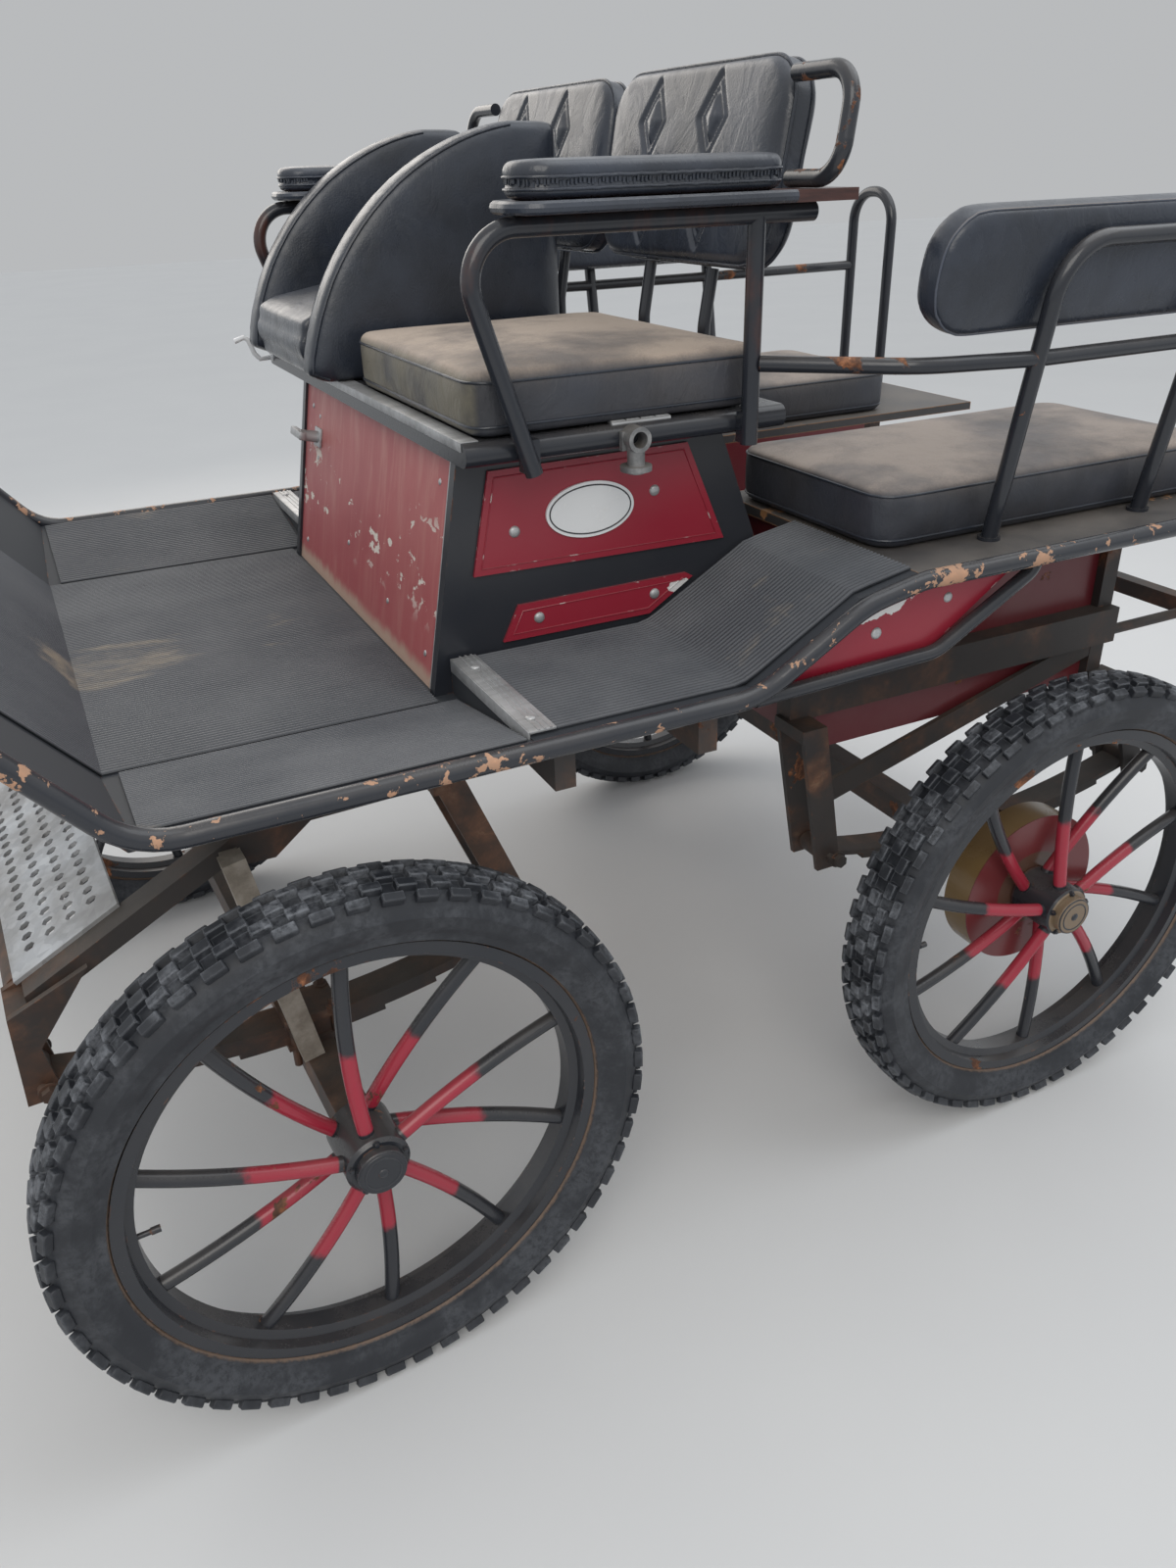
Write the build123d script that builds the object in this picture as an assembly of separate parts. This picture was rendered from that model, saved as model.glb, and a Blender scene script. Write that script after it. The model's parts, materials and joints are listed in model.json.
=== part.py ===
from build123d import *

import math
import os

# Four-wheeled open carriage, a box seat for two in front and two benches facing inwards behind it.
# Millimetres. X forward, Y left, Z up. Every station along X is first given from the rear axle, and the
# finished pieces are moved so that the origin lies on the ground under the middle of the carriage.

# Gaps
SEAT_GAP = 0.3
RUNNING_FIT = 0.1

# Wheels and their places
WHEEL_RADIUS = 345.0
TYRE_WIDTH = 84.0
LUG_DEPTH = 8.0
LUG_LENGTH = 24.0
LUG_INNER = 4.0
LUG_OUTER = 37.0
LUG_ROOT = 15.0
LUGS_PER_ROW = 30
RIM_RADIUS = 276.0
RIM_SEAT_DEPTH = 10.0
RIM_WIDTH = 54.0
RIM_WELL_RADIUS = 250.0
RIM_WALL = 4.0
HUB_RADIUS = 37.0
HUB_LENGTH = 76.0
HUB_CAP_RADIUS = 28.5
HUB_CAP_HEIGHT = 12.0
SPOKE_COUNT = 10
SPOKE_RADIUS = 9.0
SPOKE_PHASE_DEG = 18.0
SPOKE_SWEEP_OUTER_DEG = 8.0
SPOKE_SWEEP_INNER_DEG = 21.0
SPOKE_BULGE = 7.0
SPOKE_STAGGER = 20.0
WHEELBASE = 1050.0
KING_X = WHEELBASE
TRACK = 1200.0
SPINDLE_RADIUS = 15.0
PARKED_STEER_DEG = 3.0

# Brake drums on the rear hubs
DRUM_RADIUS = 118.0
DRUM_WALL = 8.0
DRUM_DEPTH = 46.0
BACKPLATE = 4.0
DRUM_CLEARANCE = 6.0

# Foot space: flat floor, side wings and toe board
FLOOR_HALF = 365.0
FLOOR_Z = 744.0
BOARD = 14.0
MAT = 4.0
MAT_MARGIN = 6.0
WING_HALF = 588.0
WING_RISE = 41.0
WING_SETBACK = 12.0
FLOOR_FRONT = KING_X + 142
FLOOR_BACK = 300.0
TOE_ANGLE_DEG = 50.0
TOE_LENGTH = 300.0
TOE_CORNER = 75.0

# Running board and bench platform
RUNNING_START = 785.0
RUNNING_Z = FLOOR_Z + WING_RISE
RUNNING_END = 520.0
RAMP_TOP = 380.0
RAMP_Z = 866.0
RISER = 12.0
PLATFORM_START = 300.0
PLATFORM_Z = 882.0
PLATFORM_BACK = -465.0
PLATFORM_INNER = 165.0
EDGE_TUBE_RADIUS = 11.0
EDGE_TUBE_DROP = 5.0

# Seat box
BOX_HALF = 338.0
BOX_WALL = 15.0
BOX_FOOT = 809.0
BOX_TOP = 757.0
BOX_BACK_TOP = 416.0
BOX_BACK_FOOT = 352.0
BOX_BACK_Z = 858.0
PANEL_INSET = 4.0
PANEL_WALL = 12.0
PLAQUE = 4.0
OVAL_X = 596.0
OVAL_Z = 943.0
OVAL_LENGTH = 116.0
OVAL_HEIGHT = 66.0

# Seat plate on the box, set towards the right
SEAT_MID = -52.0
SEAT_PLATE_Z = 1022.0
SEAT_PLATE = 26.0
SEAT_PLATE_ROUND = 12.0
SEAT_PLATE_HALF = 457.0
SEAT_PLATE_FRONT = 770.0
SEAT_PLATE_BACK = 365.0

# Seats, across from the middle of the plate
CUSHION_Z = SEAT_PLATE_Z + SEAT_PLATE + SEAT_GAP
CUSHION_HEIGHT = 76.0
CUSHION_CORNER = 26.0
PASSENGER_FRONT = 760.0
PASSENGER_BACK = 392.0
PASSENGER_INNER = 22.0
PASSENGER_OUTER = 452.0
DRIVER_FRONT = 806.0
DRIVER_BACK = 432.0
DRIVER_LIP_Z = 1060.0
DRIVER_TOP_FRONT = 1128.0
DRIVER_TOP_BACK = 1190.0
DRIVER_UNDERCUT = 36.0
BOLSTER = 66.0
BOLSTER_NEAR = 7.0
BOLSTER_FAR = 423.0
BOLSTER_TOP = 1356.0
BOLSTER_LIP = 6.0
BOLSTER_KNEE = (690.0, 1272.0)
BOLSTER_SHOULDER = 500.0
BACKREST_WIDTH = 423.0
BACKREST_HEIGHT = 226.0
BACKREST_THICK = 56.0
BACKREST_FOOT_Z = 1192.0
BACKREST_FACE_X = 395.0
BACKREST_LEAN_DEG = 11.0
BACKREST_CORNER = 55.0
BACKREST_SPLIT = 2.0
POST_GAUGE = 156.0
POST_RADIUS = 8.0
POST_X = 379.0
POST_KNEE_Z = 1120.0
POST_BEND = 60.0

# Arm rests
ARM_OUT = 470.0
ARM_TUBE_RADIUS = 10.0
ARM_TOP_Z = 1253.0
ARM_FOOT_X = 698.0
ARM_FOOT_Z = 1012.0
ARM_CORNER_X = 775.0
ARM_BEND = 50.0
ARM_POST_X = 425.0
ARM_TAIL_X = 352.0
LUG = 20.0
PAD_FRONT = 716.0
PAD_BACK = 402.0
PAD_WIDTH = 82.0
PAD_HEIGHT = 39.0
PAD_CORNER = 35.0
ARM_BOARD = 12.0
ARM_BOARD_WIDTH = 72.0
ARM_BOARD_BACK = 320.0
GRIP_RADIUS = 9.0
GRIP_REACH = 103.0
GRIP_Z = 1385.0
GRIP_X = 350.0
GRIP_BEND = 36.0

# Lamp brackets on the side edges of the seat plate
LAMP_X = 573.0
LAMP_CLAMP = 7.0
LAMP_CLAMP_HALF = 15.0
LAMP_SOCKET_RADIUS = 14.0
LAMP_BORE_RADIUS = 9.0
LAMP_SOCKET_LENGTH = 22.0
LAMP_STEM_RADIUS = 10.0
LAMP_STEM = 38.0
LAMP_COLLAR_RADIUS = 18.0
LAMP_COLLAR = 6.0

# Rear benches
BENCH_FRONT = 297.0
BENCH_BACK = -290.0
BENCH_INNER = 185.0
BENCH_OUTER = WING_HALF - 76
BENCH_HEIGHT = 80.0
BENCH_CORNER = 35.0
HOOP_FRONT_X = 139.0
HOOP_BACK_X = -117.0
HOOP_FOOT_Y = WING_HALF - 61
HOOP_TOP_Y = WING_HALF - 4
HOOP_TOP_Z = 1220.0
HOOP_BEND = 60.0
FLANGE_RADIUS = 14.0
FLANGE = 4.0
BAR_RADIUS = 10.0
RAIL_RADIUS = BAR_RADIUS - 1.0
RAIL_Z = 1098.0
RAIL_FRONT_Z = 1101.0
RAIL_BEND_X = 292.0
RAIL_BEND_Y = WING_HALF - 43
BOARD_FRONT = 295.0
BOARD_BACK = -285.0
BOARD_HEIGHT = 138.0
BOARD_THICK = 52.0
BOARD_CORNER = 55.0
BOARD_FOOT_Z = 1112.0
HANDLE_OUTER = WING_HALF - 14
HANDLE_INNER = WING_HALF - 133
HANDLE_TOP_Z = 1236.0
HANDLE_FOOT_Z = 800.0
HANDLE_BEND = 55.0

# Rear body under the benches
BODY_HALF = 400.0
BODY_FRONT = 285.0
BODY_BACK = -215.0
BODY_FLOOR_Z = 572.0
BODY_WALL = 14.0

# Crimson gusset panels beside the ramp, each on its own tube
GUSSET_Y = WING_HALF - 28
GUSSET_WALL = 4.0
GUSSET_TUBE_RADIUS = 9.0
GUSSET_START = 505.0
GUSSET_BEND_X = 243.0
GUSSET_END = 98.0

# Chassis
RAIL_HALF = 300.0
RAIL_TUBE = 25.0
RAIL_TOP_Z = FLOOR_Z - BOARD
OUTRIGGER_HALF = WING_HALF - 28
KINGPIN_RADIUS = 16.0
RING_RADIUS = 250.0
RING_WIDTH = 34.0
RING_THICK = 8.0
SIDE_RAIL_Z = 640.0
SIDE_RAIL_HEIGHT = 54.0
SIDE_RAIL_WIDTH = 30.0
SIDE_RAIL_FRONT = 352.0
SIDE_RAIL_BACK = BODY_BACK - 28
TAIL_X = -450.0
TAIL_TUBE_RADIUS = 8.0
TAIL_TUBE_RISE = 8.0
CORNER_POST = 28.0
POST_FOOT_DROP = 12.0
FLOOR_BEAMS = (KING_X - 180, KING_X, KING_X + 110)
OUTRIGGERS = (RUNNING_END + 40, RUNNING_START - 45)
BRACE = ((278.0, 482.0), (306.0, 510.0), (-244.0, 660.0), (-244.0, 624.0))
REAR_SPRING_Y = BODY_HALF + 38

# Springs and axles
SPRING_Y = 400.0
SPRING_WIDTH = 45.0
LEAF = 7.0
LEAF_COUNT = 4
LEAF_STEP = 70.0
SPRING_HALF = 300.0
SPRING_RISE = 42.0
EYE_RADIUS = 13.0
PIN_RADIUS = 6.0
CLAMP_HALF = 35.0
AXLE_SIZE = 40.0
AXLE_CLEARANCE = 6.0
HANGER_PLATE = 8.0
HANGER_GAP = 2.0
HANGER_HEAD = 18.0
HANGER_HALF = 19.0

# Fore carriage
FORE_TUBE = 36.0
FORE_DEPTH = 26.0
FORE_NOSE_X = KING_X + 290
FORE_NOSE_Z = 535.0
FORE_RISE_X = KING_X + 8
FORE_TOP_Z = 676.0
FORE_TAIL_X = KING_X - 200
FORE_BACK_BEAM = KING_X - 120
FORE_FRONT_BEAM = KING_X + 60
FORE_BEAM_DROP = 9.0
KNEE_PLATE = ((70.0, 632.0), (8.0, 629.0), (-37.0, 663.0))
POLE_Z = 525.0
NOSE_BAR_RADIUS = 20.0
HANGER_SWEEP = ((-75.0, 36.0), (-10.0, -48.0))
FORE_POST = 26.0
FORE_POST_LEAN = 48.0
FORE_POST_X = KING_X + 12
FORE_POST_TOP_Z = 659.0
BOSS_RADIUS = 34.0
BOSS_HALF = 28.0
NUT_RADIUS = 26.0
NUT = 10.0
SOCKET_RADIUS = 34.0
SOCKET_BORE = 28.0
SOCKET_DEPTH = 130.0
POLE_REACH = 450.0
STEP_PLATE = 5.0
STEP_BACK = KING_X + 176
STEP_FRONT = KING_X + 295
STEP_HALF = 388.0
HOLE_RADIUS = 7.0
HOLE_SIDES = 6
HOLE_PITCH = 27.0
HOLE_ROW_PITCH = 23.0
STEP_END_MARGIN = 25.0
STEP_SIDE_MARGIN = 35.0

# Rear step
REAR_STEP_FRONT = TAIL_X + 50
REAR_STEP_BACK = TAIL_X - 95
REAR_STEP_HALF = 200.0
REAR_STEP_Z = 330.0
STEP_HANGER = 25.0

LEFT_RIGHT = (1, -1)
STEER = math.radians(PARKED_STEER_DEG)
FRONT_END = KING_X + POLE_REACH * math.cos(STEER) + SOCKET_RADIUS * math.sin(STEER)
MID_LENGTH = (FRONT_END + REAR_STEP_BACK) / 2


def plate(points, thickness, direction, rounded=None, radius=0.0):
    """Flat plate from the corners of one face, thickened along a direction, with one corner rounded."""
    face = Face(Wire.make_polygon([Vector(*p) for p in points], close=True))
    if rounded is not None:
        corner = min(face.vertices(), key=lambda v: (v.center() - Vector(*points[rounded])).length)
        face = face.fillet_2d(radius, [corner])
    return Solid.extrude(face, Vector(*direction) * (thickness / Vector(*direction).length))


def across(outline, y0, y1):
    """Outline in X and Z carried across from y0 to y1."""
    face = Face(Wire.make_polygon([Vector(x, y0, z) for x, z in outline], close=True))
    return Solid.extrude(face, Vector(0, y1 - y0, 0))


def block(x0, x1, y0, y1, z0, z1):
    """Square block between two corners."""
    return across([(x0, z0), (x1, z0), (x1, z1), (x0, z1)], y0, y1)


def centred(x, y, z0, z1, width):
    """Upright square post about a point."""
    return block(x - width / 2, x + width / 2, y - width / 2, y + width / 2, z0, z1)


def rod(x, y, z, radius, length):
    """Round bar lying across the carriage."""
    return Pos(x, y, z) * Rot(90, 0, 0) * Cylinder(radius, length)


def bar(points, bends, radius):
    """Round bar along straight runs with filleted bends."""
    path = FilletPolyline(*points, radius=bends) if len(points) > 2 else Line(*points)
    return sweep(Plane(origin=path @ 0, z_dir=path % 0) * Circle(radius), path=path)


def beam(p, q, width, height):
    """Square bar from p to q, its width across the carriage."""
    p, q = Vector(*p), Vector(*q)
    along = (q - p).normalized()
    section = Plane(origin=p, x_dir=(0, 1, 0), z_dir=along) * Rectangle(width, height)
    return extrude(section, amount=(q - p).length)


def perforated(length, width, thickness):
    """Flat plate with rows of holes, each drawn with six sides."""
    along_count = int((length - 2 * STEP_END_MARGIN) // HOLE_PITCH) + 1
    across_count = int((width - 2 * STEP_SIDE_MARGIN) // HOLE_ROW_PITCH) + 1
    places = GridLocations(HOLE_PITCH, HOLE_ROW_PITCH, along_count, across_count)
    sheet = Rectangle(length, width) - places * RegularPolygon(HOLE_RADIUS, HOLE_SIDES)
    return extrude(sheet, amount=thickness)


def towards(p, q, distance):
    """Point at a distance from p on the way to q."""
    p, q = Vector(*p), Vector(*q)
    return tuple(p + (q - p).normalized() * distance)


def mirrored(shape):
    return mirror(shape, about=Plane.XZ)


def both(shape):
    """A piece and its twin on the other side."""
    return [shape, mirrored(shape)]


def joined(pieces):
    first, *rest = pieces
    return first.fuse(*rest) if rest else first


NODES = {}


def keep(name, *shapes):
    NODES[name] = [s for shape in shapes for s in shape.solids()]


# Wheels
def turned(outline):
    """Outline in radius and Y turned about the wheel's axle."""
    face = Face(Wire.make_polygon([Vector(r, y, 0) for r, y in outline], close=True))
    return revolve(face, axis=Axis.Y)


def tyre():
    """Straight-sided tyre with two staggered rows of lugs."""
    bead = RIM_WIDTH / 2 - RIM_WALL - SEAT_GAP
    flange = RIM_RADIUS + SEAT_GAP
    seat = RIM_RADIUS - RIM_SEAT_DEPTH + SEAT_GAP
    wide = TYRE_WIDTH / 2
    crown = WHEEL_RADIUS - LUG_DEPTH
    half = [(crown, wide - 16), (crown - 8, wide - 5), (crown - 22, wide), (flange + 20, wide),
            (flange + 2, bead + 7), (flange, bead), (seat, bead)]
    casing = turned(half + [(r, -y) for r, y in reversed(half)])
    step = 360 / LUGS_PER_ROW
    lugs = []
    for side, phase in ((1, 0.0), (-1, 0.5)):
        y0, y1 = sorted((side * LUG_INNER, side * LUG_OUTER))
        lug = block(crown - LUG_ROOT, WHEEL_RADIUS, y0, y1, -LUG_LENGTH / 2, LUG_LENGTH / 2)
        lugs += [Rot(0, (index + phase) * step, 0) * lug for index in range(LUGS_PER_ROW)]
    return joined([casing] + lugs)


def rim():
    half, wall, well = RIM_WIDTH / 2, RIM_WALL, RIM_WELL_RADIUS
    seat = RIM_RADIUS - RIM_SEAT_DEPTH
    return turned([
        (RIM_RADIUS, -half), (RIM_RADIUS, -half + wall), (seat, -half + wall), (seat - 2, -14),
        (well + wall, -9), (well + wall, 9), (seat - 2, 14), (seat, half - wall), (RIM_RADIUS, half - wall),
        (RIM_RADIUS, half), (seat - wall, half), (seat - wall - 2, 15), (well, 11), (well, -11),
        (seat - wall - 2, -15), (seat - wall, -half),
    ])


def hub():
    half, bore, edge = HUB_LENGTH / 2, SPINDLE_RADIUS + RUNNING_FIT, 4.0
    cap = half + HUB_CAP_HEIGHT
    return turned([
        (bore, -half), (HUB_RADIUS - edge, -half), (HUB_RADIUS, -half + edge), (HUB_RADIUS, half - edge),
        (HUB_RADIUS - edge, half), (HUB_CAP_RADIUS, half), (HUB_CAP_RADIUS, cap - 3),
        (HUB_CAP_RADIUS - 3, cap), (0, cap), (0, half - 8), (bore, half - 8),
    ])


def drum():
    """Brake drum on the inner end of a hub, open towards the carriage."""
    face, wall, bore = -HUB_LENGTH / 2, DRUM_WALL, SPINDLE_RADIUS + RUNNING_FIT
    return turned([
        (bore, face + 1), (DRUM_RADIUS, face + 1), (DRUM_RADIUS, face - DRUM_DEPTH),
        (DRUM_RADIUS - wall, face - DRUM_DEPTH), (DRUM_RADIUS - wall, face - wall), (bore, face - wall),
    ])


def spoke(index):
    """Curved tube from the hub to the rim well, bowed the same way all round."""
    outer = index % 2 == 0
    rim_at = math.radians(SPOKE_PHASE_DEG + index * 360 / SPOKE_COUNT)
    hub_at = rim_at - math.radians(SPOKE_SWEEP_OUTER_DEG if outer else SPOKE_SWEEP_INNER_DEG)
    side = SPOKE_STAGGER if outer else -SPOKE_STAGGER
    r0, r1 = HUB_RADIUS - 6, RIM_WELL_RADIUS + 2
    start = Vector(r0 * math.cos(hub_at), side, r0 * math.sin(hub_at))
    end = Vector(r1 * math.cos(rim_at), 0, r1 * math.sin(rim_at))
    chord = (end - start).normalized()
    bow = Vector(0, 1, 0).cross(chord) * SPOKE_BULGE
    path = ThreePointArc(start, (start + end) * 0.5 + bow, end)
    return sweep(Plane(origin=path @ 0, z_dir=path % 0) * Circle(SPOKE_RADIUS), path=path)


WHEELS = (
    # name, station, side, has a drum
    ("fl", WHEELBASE, 1, False),
    ("fr", WHEELBASE, -1, False),
    ("rl", 0.0, 1, True),
    ("rr", 0.0, -1, True),
)


def wheels():
    plain = joined([hub(), rim()] + [spoke(i) for i in range(SPOKE_COUNT)])
    braked = joined([plain, drum()])
    cover = tyre()
    for name, x, side, has_drum in WHEELS:
        place = Pos(x, side * TRACK / 2, WHEEL_RADIUS) * Rot(0, 0, 0 if side > 0 else 180)
        if x == KING_X:
            place = TURN * place
        keep("wheel_" + name, place * (braked if has_drum else plain))
        keep("tyre_" + name, place * cover)


# Leaf springs and axles
SPRING_BASE = WHEEL_RADIUS + AXLE_SIZE / 2 + 6
MASTER_RADIUS = (SPRING_HALF ** 2 + SPRING_RISE ** 2) / (2 * SPRING_RISE)
MASTER_LOW_Z = SPRING_BASE + LEAF * (LEAF_COUNT - 1)
EYE_ANGLE = math.asin(SPRING_HALF / MASTER_RADIUS)
SPRING_EYE_Z = MASTER_LOW_Z + MASTER_RADIUS - (MASTER_RADIUS - LEAF / 2) * math.cos(EYE_ANGLE)
SPRING_EYE_X = (MASTER_RADIUS - LEAF / 2) * math.sin(EYE_ANGLE)


def leaf(half, number, y0, y1, x):
    """One bowed leaf under the one before it, all about one centre."""
    centre_z = MASTER_LOW_Z + MASTER_RADIUS
    low = MASTER_RADIUS + LEAF * number
    high = low - LEAF
    angle = math.asin(half / MASTER_RADIUS)
    sine, cosine = math.sin(angle), math.cos(angle)
    with BuildSketch(Plane.XZ.offset(-y0)) as section:
        with BuildLine():
            ThreePointArc((x - low * sine, centre_z - low * cosine), (x, centre_z - low),
                          (x + low * sine, centre_z - low * cosine))
            Line((x + low * sine, centre_z - low * cosine), (x + high * sine, centre_z - high * cosine))
            ThreePointArc((x + high * sine, centre_z - high * cosine), (x, centre_z - high),
                          (x - high * sine, centre_z - high * cosine))
            Line((x - high * sine, centre_z - high * cosine), (x - low * sine, centre_z - low * cosine))
        make_face()
    return extrude(section.sketch, amount=-(y1 - y0))


def spring(x, y):
    """Leaf pack with its eyes and the clamp plates over the axle."""
    y0, y1 = y - SPRING_WIDTH / 2, y + SPRING_WIDTH / 2
    pieces = [leaf(SPRING_HALF - i * LEAF_STEP, i, y0, y1, x) for i in range(LEAF_COUNT)]
    for end in (-1, 1):
        pieces.append(rod(x + end * SPRING_EYE_X, y, SPRING_EYE_Z, EYE_RADIUS, SPRING_WIDTH))
    top = MASTER_LOW_Z + LEAF
    pieces.append(block(x - CLAMP_HALF, x + CLAMP_HALF, y0 - 6, y1 + 6, top - 1, top + 10))
    pieces.append(block(x - CLAMP_HALF, x + CLAMP_HALF, y0 - 6, y1 + 6, SPRING_BASE - 6, SPRING_BASE + 1))
    pack = joined(pieces)
    for end in (-1, 1):
        eye_x = x + end * SPRING_EYE_X
        pack = pack.cut(rod(eye_x, y, SPRING_EYE_Z, PIN_RADIUS + SEAT_GAP, SPRING_WIDTH + 20))
    return pack


def axle(x, inner):
    """Square axle beam with a round spindle into each hub."""
    tip = TRACK / 2 + HUB_LENGTH / 2 - 10
    half = AXLE_SIZE / 2
    square = block(x - half, x + half, -inner, inner, WHEEL_RADIUS - half, WHEEL_RADIUS + half)
    return joined([square, rod(x, 0, WHEEL_RADIUS, SPINDLE_RADIUS, 2 * tip)])


def hanger(x, z_top, y, lean, sweep=()):
    """Pair of plates with a head block, from a frame member down to a spring eye with its pin."""
    pieces = []
    inner = SPRING_WIDTH / 2 + HANGER_GAP
    outer = inner + HANGER_PLATE
    half = HANGER_HALF
    outline = [(x - half, SPRING_EYE_Z - 18), (x + half, SPRING_EYE_Z - 18), (x + lean + half, z_top)]
    outline += [(x + dx, z_top + dz) for dx, dz in sweep] or [(x + lean - half, z_top)]
    for side in LEFT_RIGHT:
        y0, y1 = sorted((y + side * inner, y + side * outer))
        pieces.append(across(outline, y0, y1))
    pieces.append(block(x + lean - half, x + lean + half, y - outer, y + outer, z_top - HANGER_HEAD, z_top))
    pieces.append(rod(x, y, SPRING_EYE_Z, PIN_RADIUS, 2 * outer + 20))
    return pieces


# Fore carriage, built straight ahead and turned to where it stands
TURN = Pos(KING_X, 0, 0) * Rot(0, 0, PARKED_STEER_DEG) * Pos(-KING_X, 0, 0)
RING_Z = RAIL_TOP_Z - RAIL_TUBE - RING_THICK


def turntable(z):
    ring = Cylinder(RING_RADIUS, RING_THICK) - Cylinder(RING_RADIUS - RING_WIDTH, RING_THICK + 2)
    return Pos(KING_X, 0, z + RING_THICK / 2) * ring


def side_bar_z(x):
    """Height of a fore carriage side bar's middle at a station."""
    if x < FORE_RISE_X:
        return FORE_TOP_Z
    return FORE_TOP_Z + (FORE_NOSE_Z - FORE_TOP_Z) * (x - FORE_RISE_X) / (FORE_NOSE_X - FORE_RISE_X)


def fore_side_bars():
    """Bent bars from the tail down to the nose, each with a knee plate and two spring hangers."""
    half, deep = FORE_TUBE / 2, FORE_DEPTH / 2
    route = [(FORE_NOSE_X, FORE_NOSE_Z), (FORE_RISE_X, FORE_TOP_Z), (FORE_TAIL_X, FORE_TOP_Z)]
    lower = [(x, z - deep) for x, z in route]
    lower[1:2] = [(KING_X + dx, z) for dx, z in KNEE_PLATE]
    upper = [(x, z + deep) for x, z in reversed(route)]
    bars = []
    for side in LEFT_RIGHT:
        y = side * SPRING_Y
        pieces = [across(lower + upper, y - half, y + half)]
        pieces += hanger(KING_X + SPRING_EYE_X, FORE_NOSE_Z, y, -6, HANGER_SWEEP)
        pieces += hanger(KING_X - SPRING_EYE_X, FORE_TOP_Z, y, 100)
        bars.append(TURN * joined(pieces))
    keep("fore_side_bars", *bars)


def nose_bar():
    """Round bar across the nose with the socket of the draw pole."""
    hanger_face = SPRING_Y - SPRING_WIDTH / 2 - HANGER_GAP - HANGER_PLATE
    cross = rod(FORE_NOSE_X, 0, POLE_Z, NOSE_BAR_RADIUS, 2 * (hanger_face - SEAT_GAP))
    reach = KING_X + POLE_REACH
    start = FORE_NOSE_X + NOSE_BAR_RADIUS / 2
    socket = Rot(0, 90, 0) * Cylinder(SOCKET_RADIUS, reach - start)
    nose = joined([cross, Pos((start + reach) / 2, 0, POLE_Z) * socket])
    bore = Rot(0, 90, 0) * Cylinder(SOCKET_BORE, SOCKET_DEPTH)
    keep("nose_bar", TURN * nose.cut(Pos(reach - SOCKET_DEPTH / 2, 0, POLE_Z) * bore))


def fore_frame():
    """Cross beams between the side bars, the lower turntable ring on them and the kingpin boss."""
    half = FORE_TUBE / 2
    reach = SPRING_Y - half - SEAT_GAP
    low_ring = RING_Z - RING_THICK - SEAT_GAP
    pieces = [turntable(low_ring)]
    ring_middle = RING_RADIUS - RING_WIDTH / 2
    for x in (FORE_BACK_BEAM, FORE_FRONT_BEAM):
        z = side_bar_z(x) - FORE_BEAM_DROP
        pieces.append(block(x - half, x + half, -reach, reach, z - half, z + half))
        y = math.sqrt(ring_middle ** 2 - (x - KING_X) ** 2)
        pieces += both(centred(x, y, z, low_ring + 1, FORE_TUBE - 2))
    back_z = side_bar_z(FORE_BACK_BEAM) - FORE_BEAM_DROP
    front_z = side_bar_z(FORE_FRONT_BEAM) - FORE_BEAM_DROP
    pieces.append(beam((FORE_BACK_BEAM, 0, back_z), (FORE_FRONT_BEAM, 0, front_z), FORE_TUBE, FORE_TUBE))
    boss_z = (back_z + front_z) / 2
    pieces.append(Pos(KING_X, 0, boss_z) * Cylinder(BOSS_RADIUS, 2 * BOSS_HALF))
    bore = Pos(KING_X, 0, boss_z) * Cylinder(KINGPIN_RADIUS + RUNNING_FIT, 4 * BOSS_HALF)
    keep("fore_frame", TURN * joined(pieces).cut(bore))
    return boss_z - BOSS_HALF


def fore_running_gear():
    keep("front_axle", TURN * axle(KING_X, TRACK / 2 - HUB_LENGTH / 2 - AXLE_CLEARANCE))
    keep("front_springs", *[TURN * s for s in both(spring(KING_X, SPRING_Y))])
    middle = (STEP_BACK + STEP_FRONT) / 2
    slope = math.atan2(FORE_TOP_Z - FORE_NOSE_Z, FORE_NOSE_X - FORE_RISE_X)
    lift = FORE_DEPTH / 2 + SEAT_GAP / math.cos(slope)
    step = perforated((STEP_FRONT - STEP_BACK) / math.cos(slope), 2 * STEP_HALF, STEP_PLATE)
    step = Pos(middle, 0, side_bar_z(middle) + lift) * Rot(0, math.degrees(slope), 0) * step
    keep("front_step", TURN * step)
    y = SPRING_Y + FORE_TUBE / 2 + FORE_POST
    post = beam((FORE_POST_X, y, SPRING_BASE - 3), (FORE_POST_X + FORE_POST_LEAN, y, FORE_POST_TOP_Z),
                FORE_POST, FORE_POST)
    lug_x = FORE_POST_X + FORE_POST_LEAN
    lug = block(lug_x - 12, lug_x + 8, SPRING_Y + FORE_TUBE / 2 + SEAT_GAP, y - 12, FORE_POST_TOP_Z - 20,
                FORE_POST_TOP_Z - 4)
    keep("front_posts", *[TURN * s for s in both(joined([post, lug]))])


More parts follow.
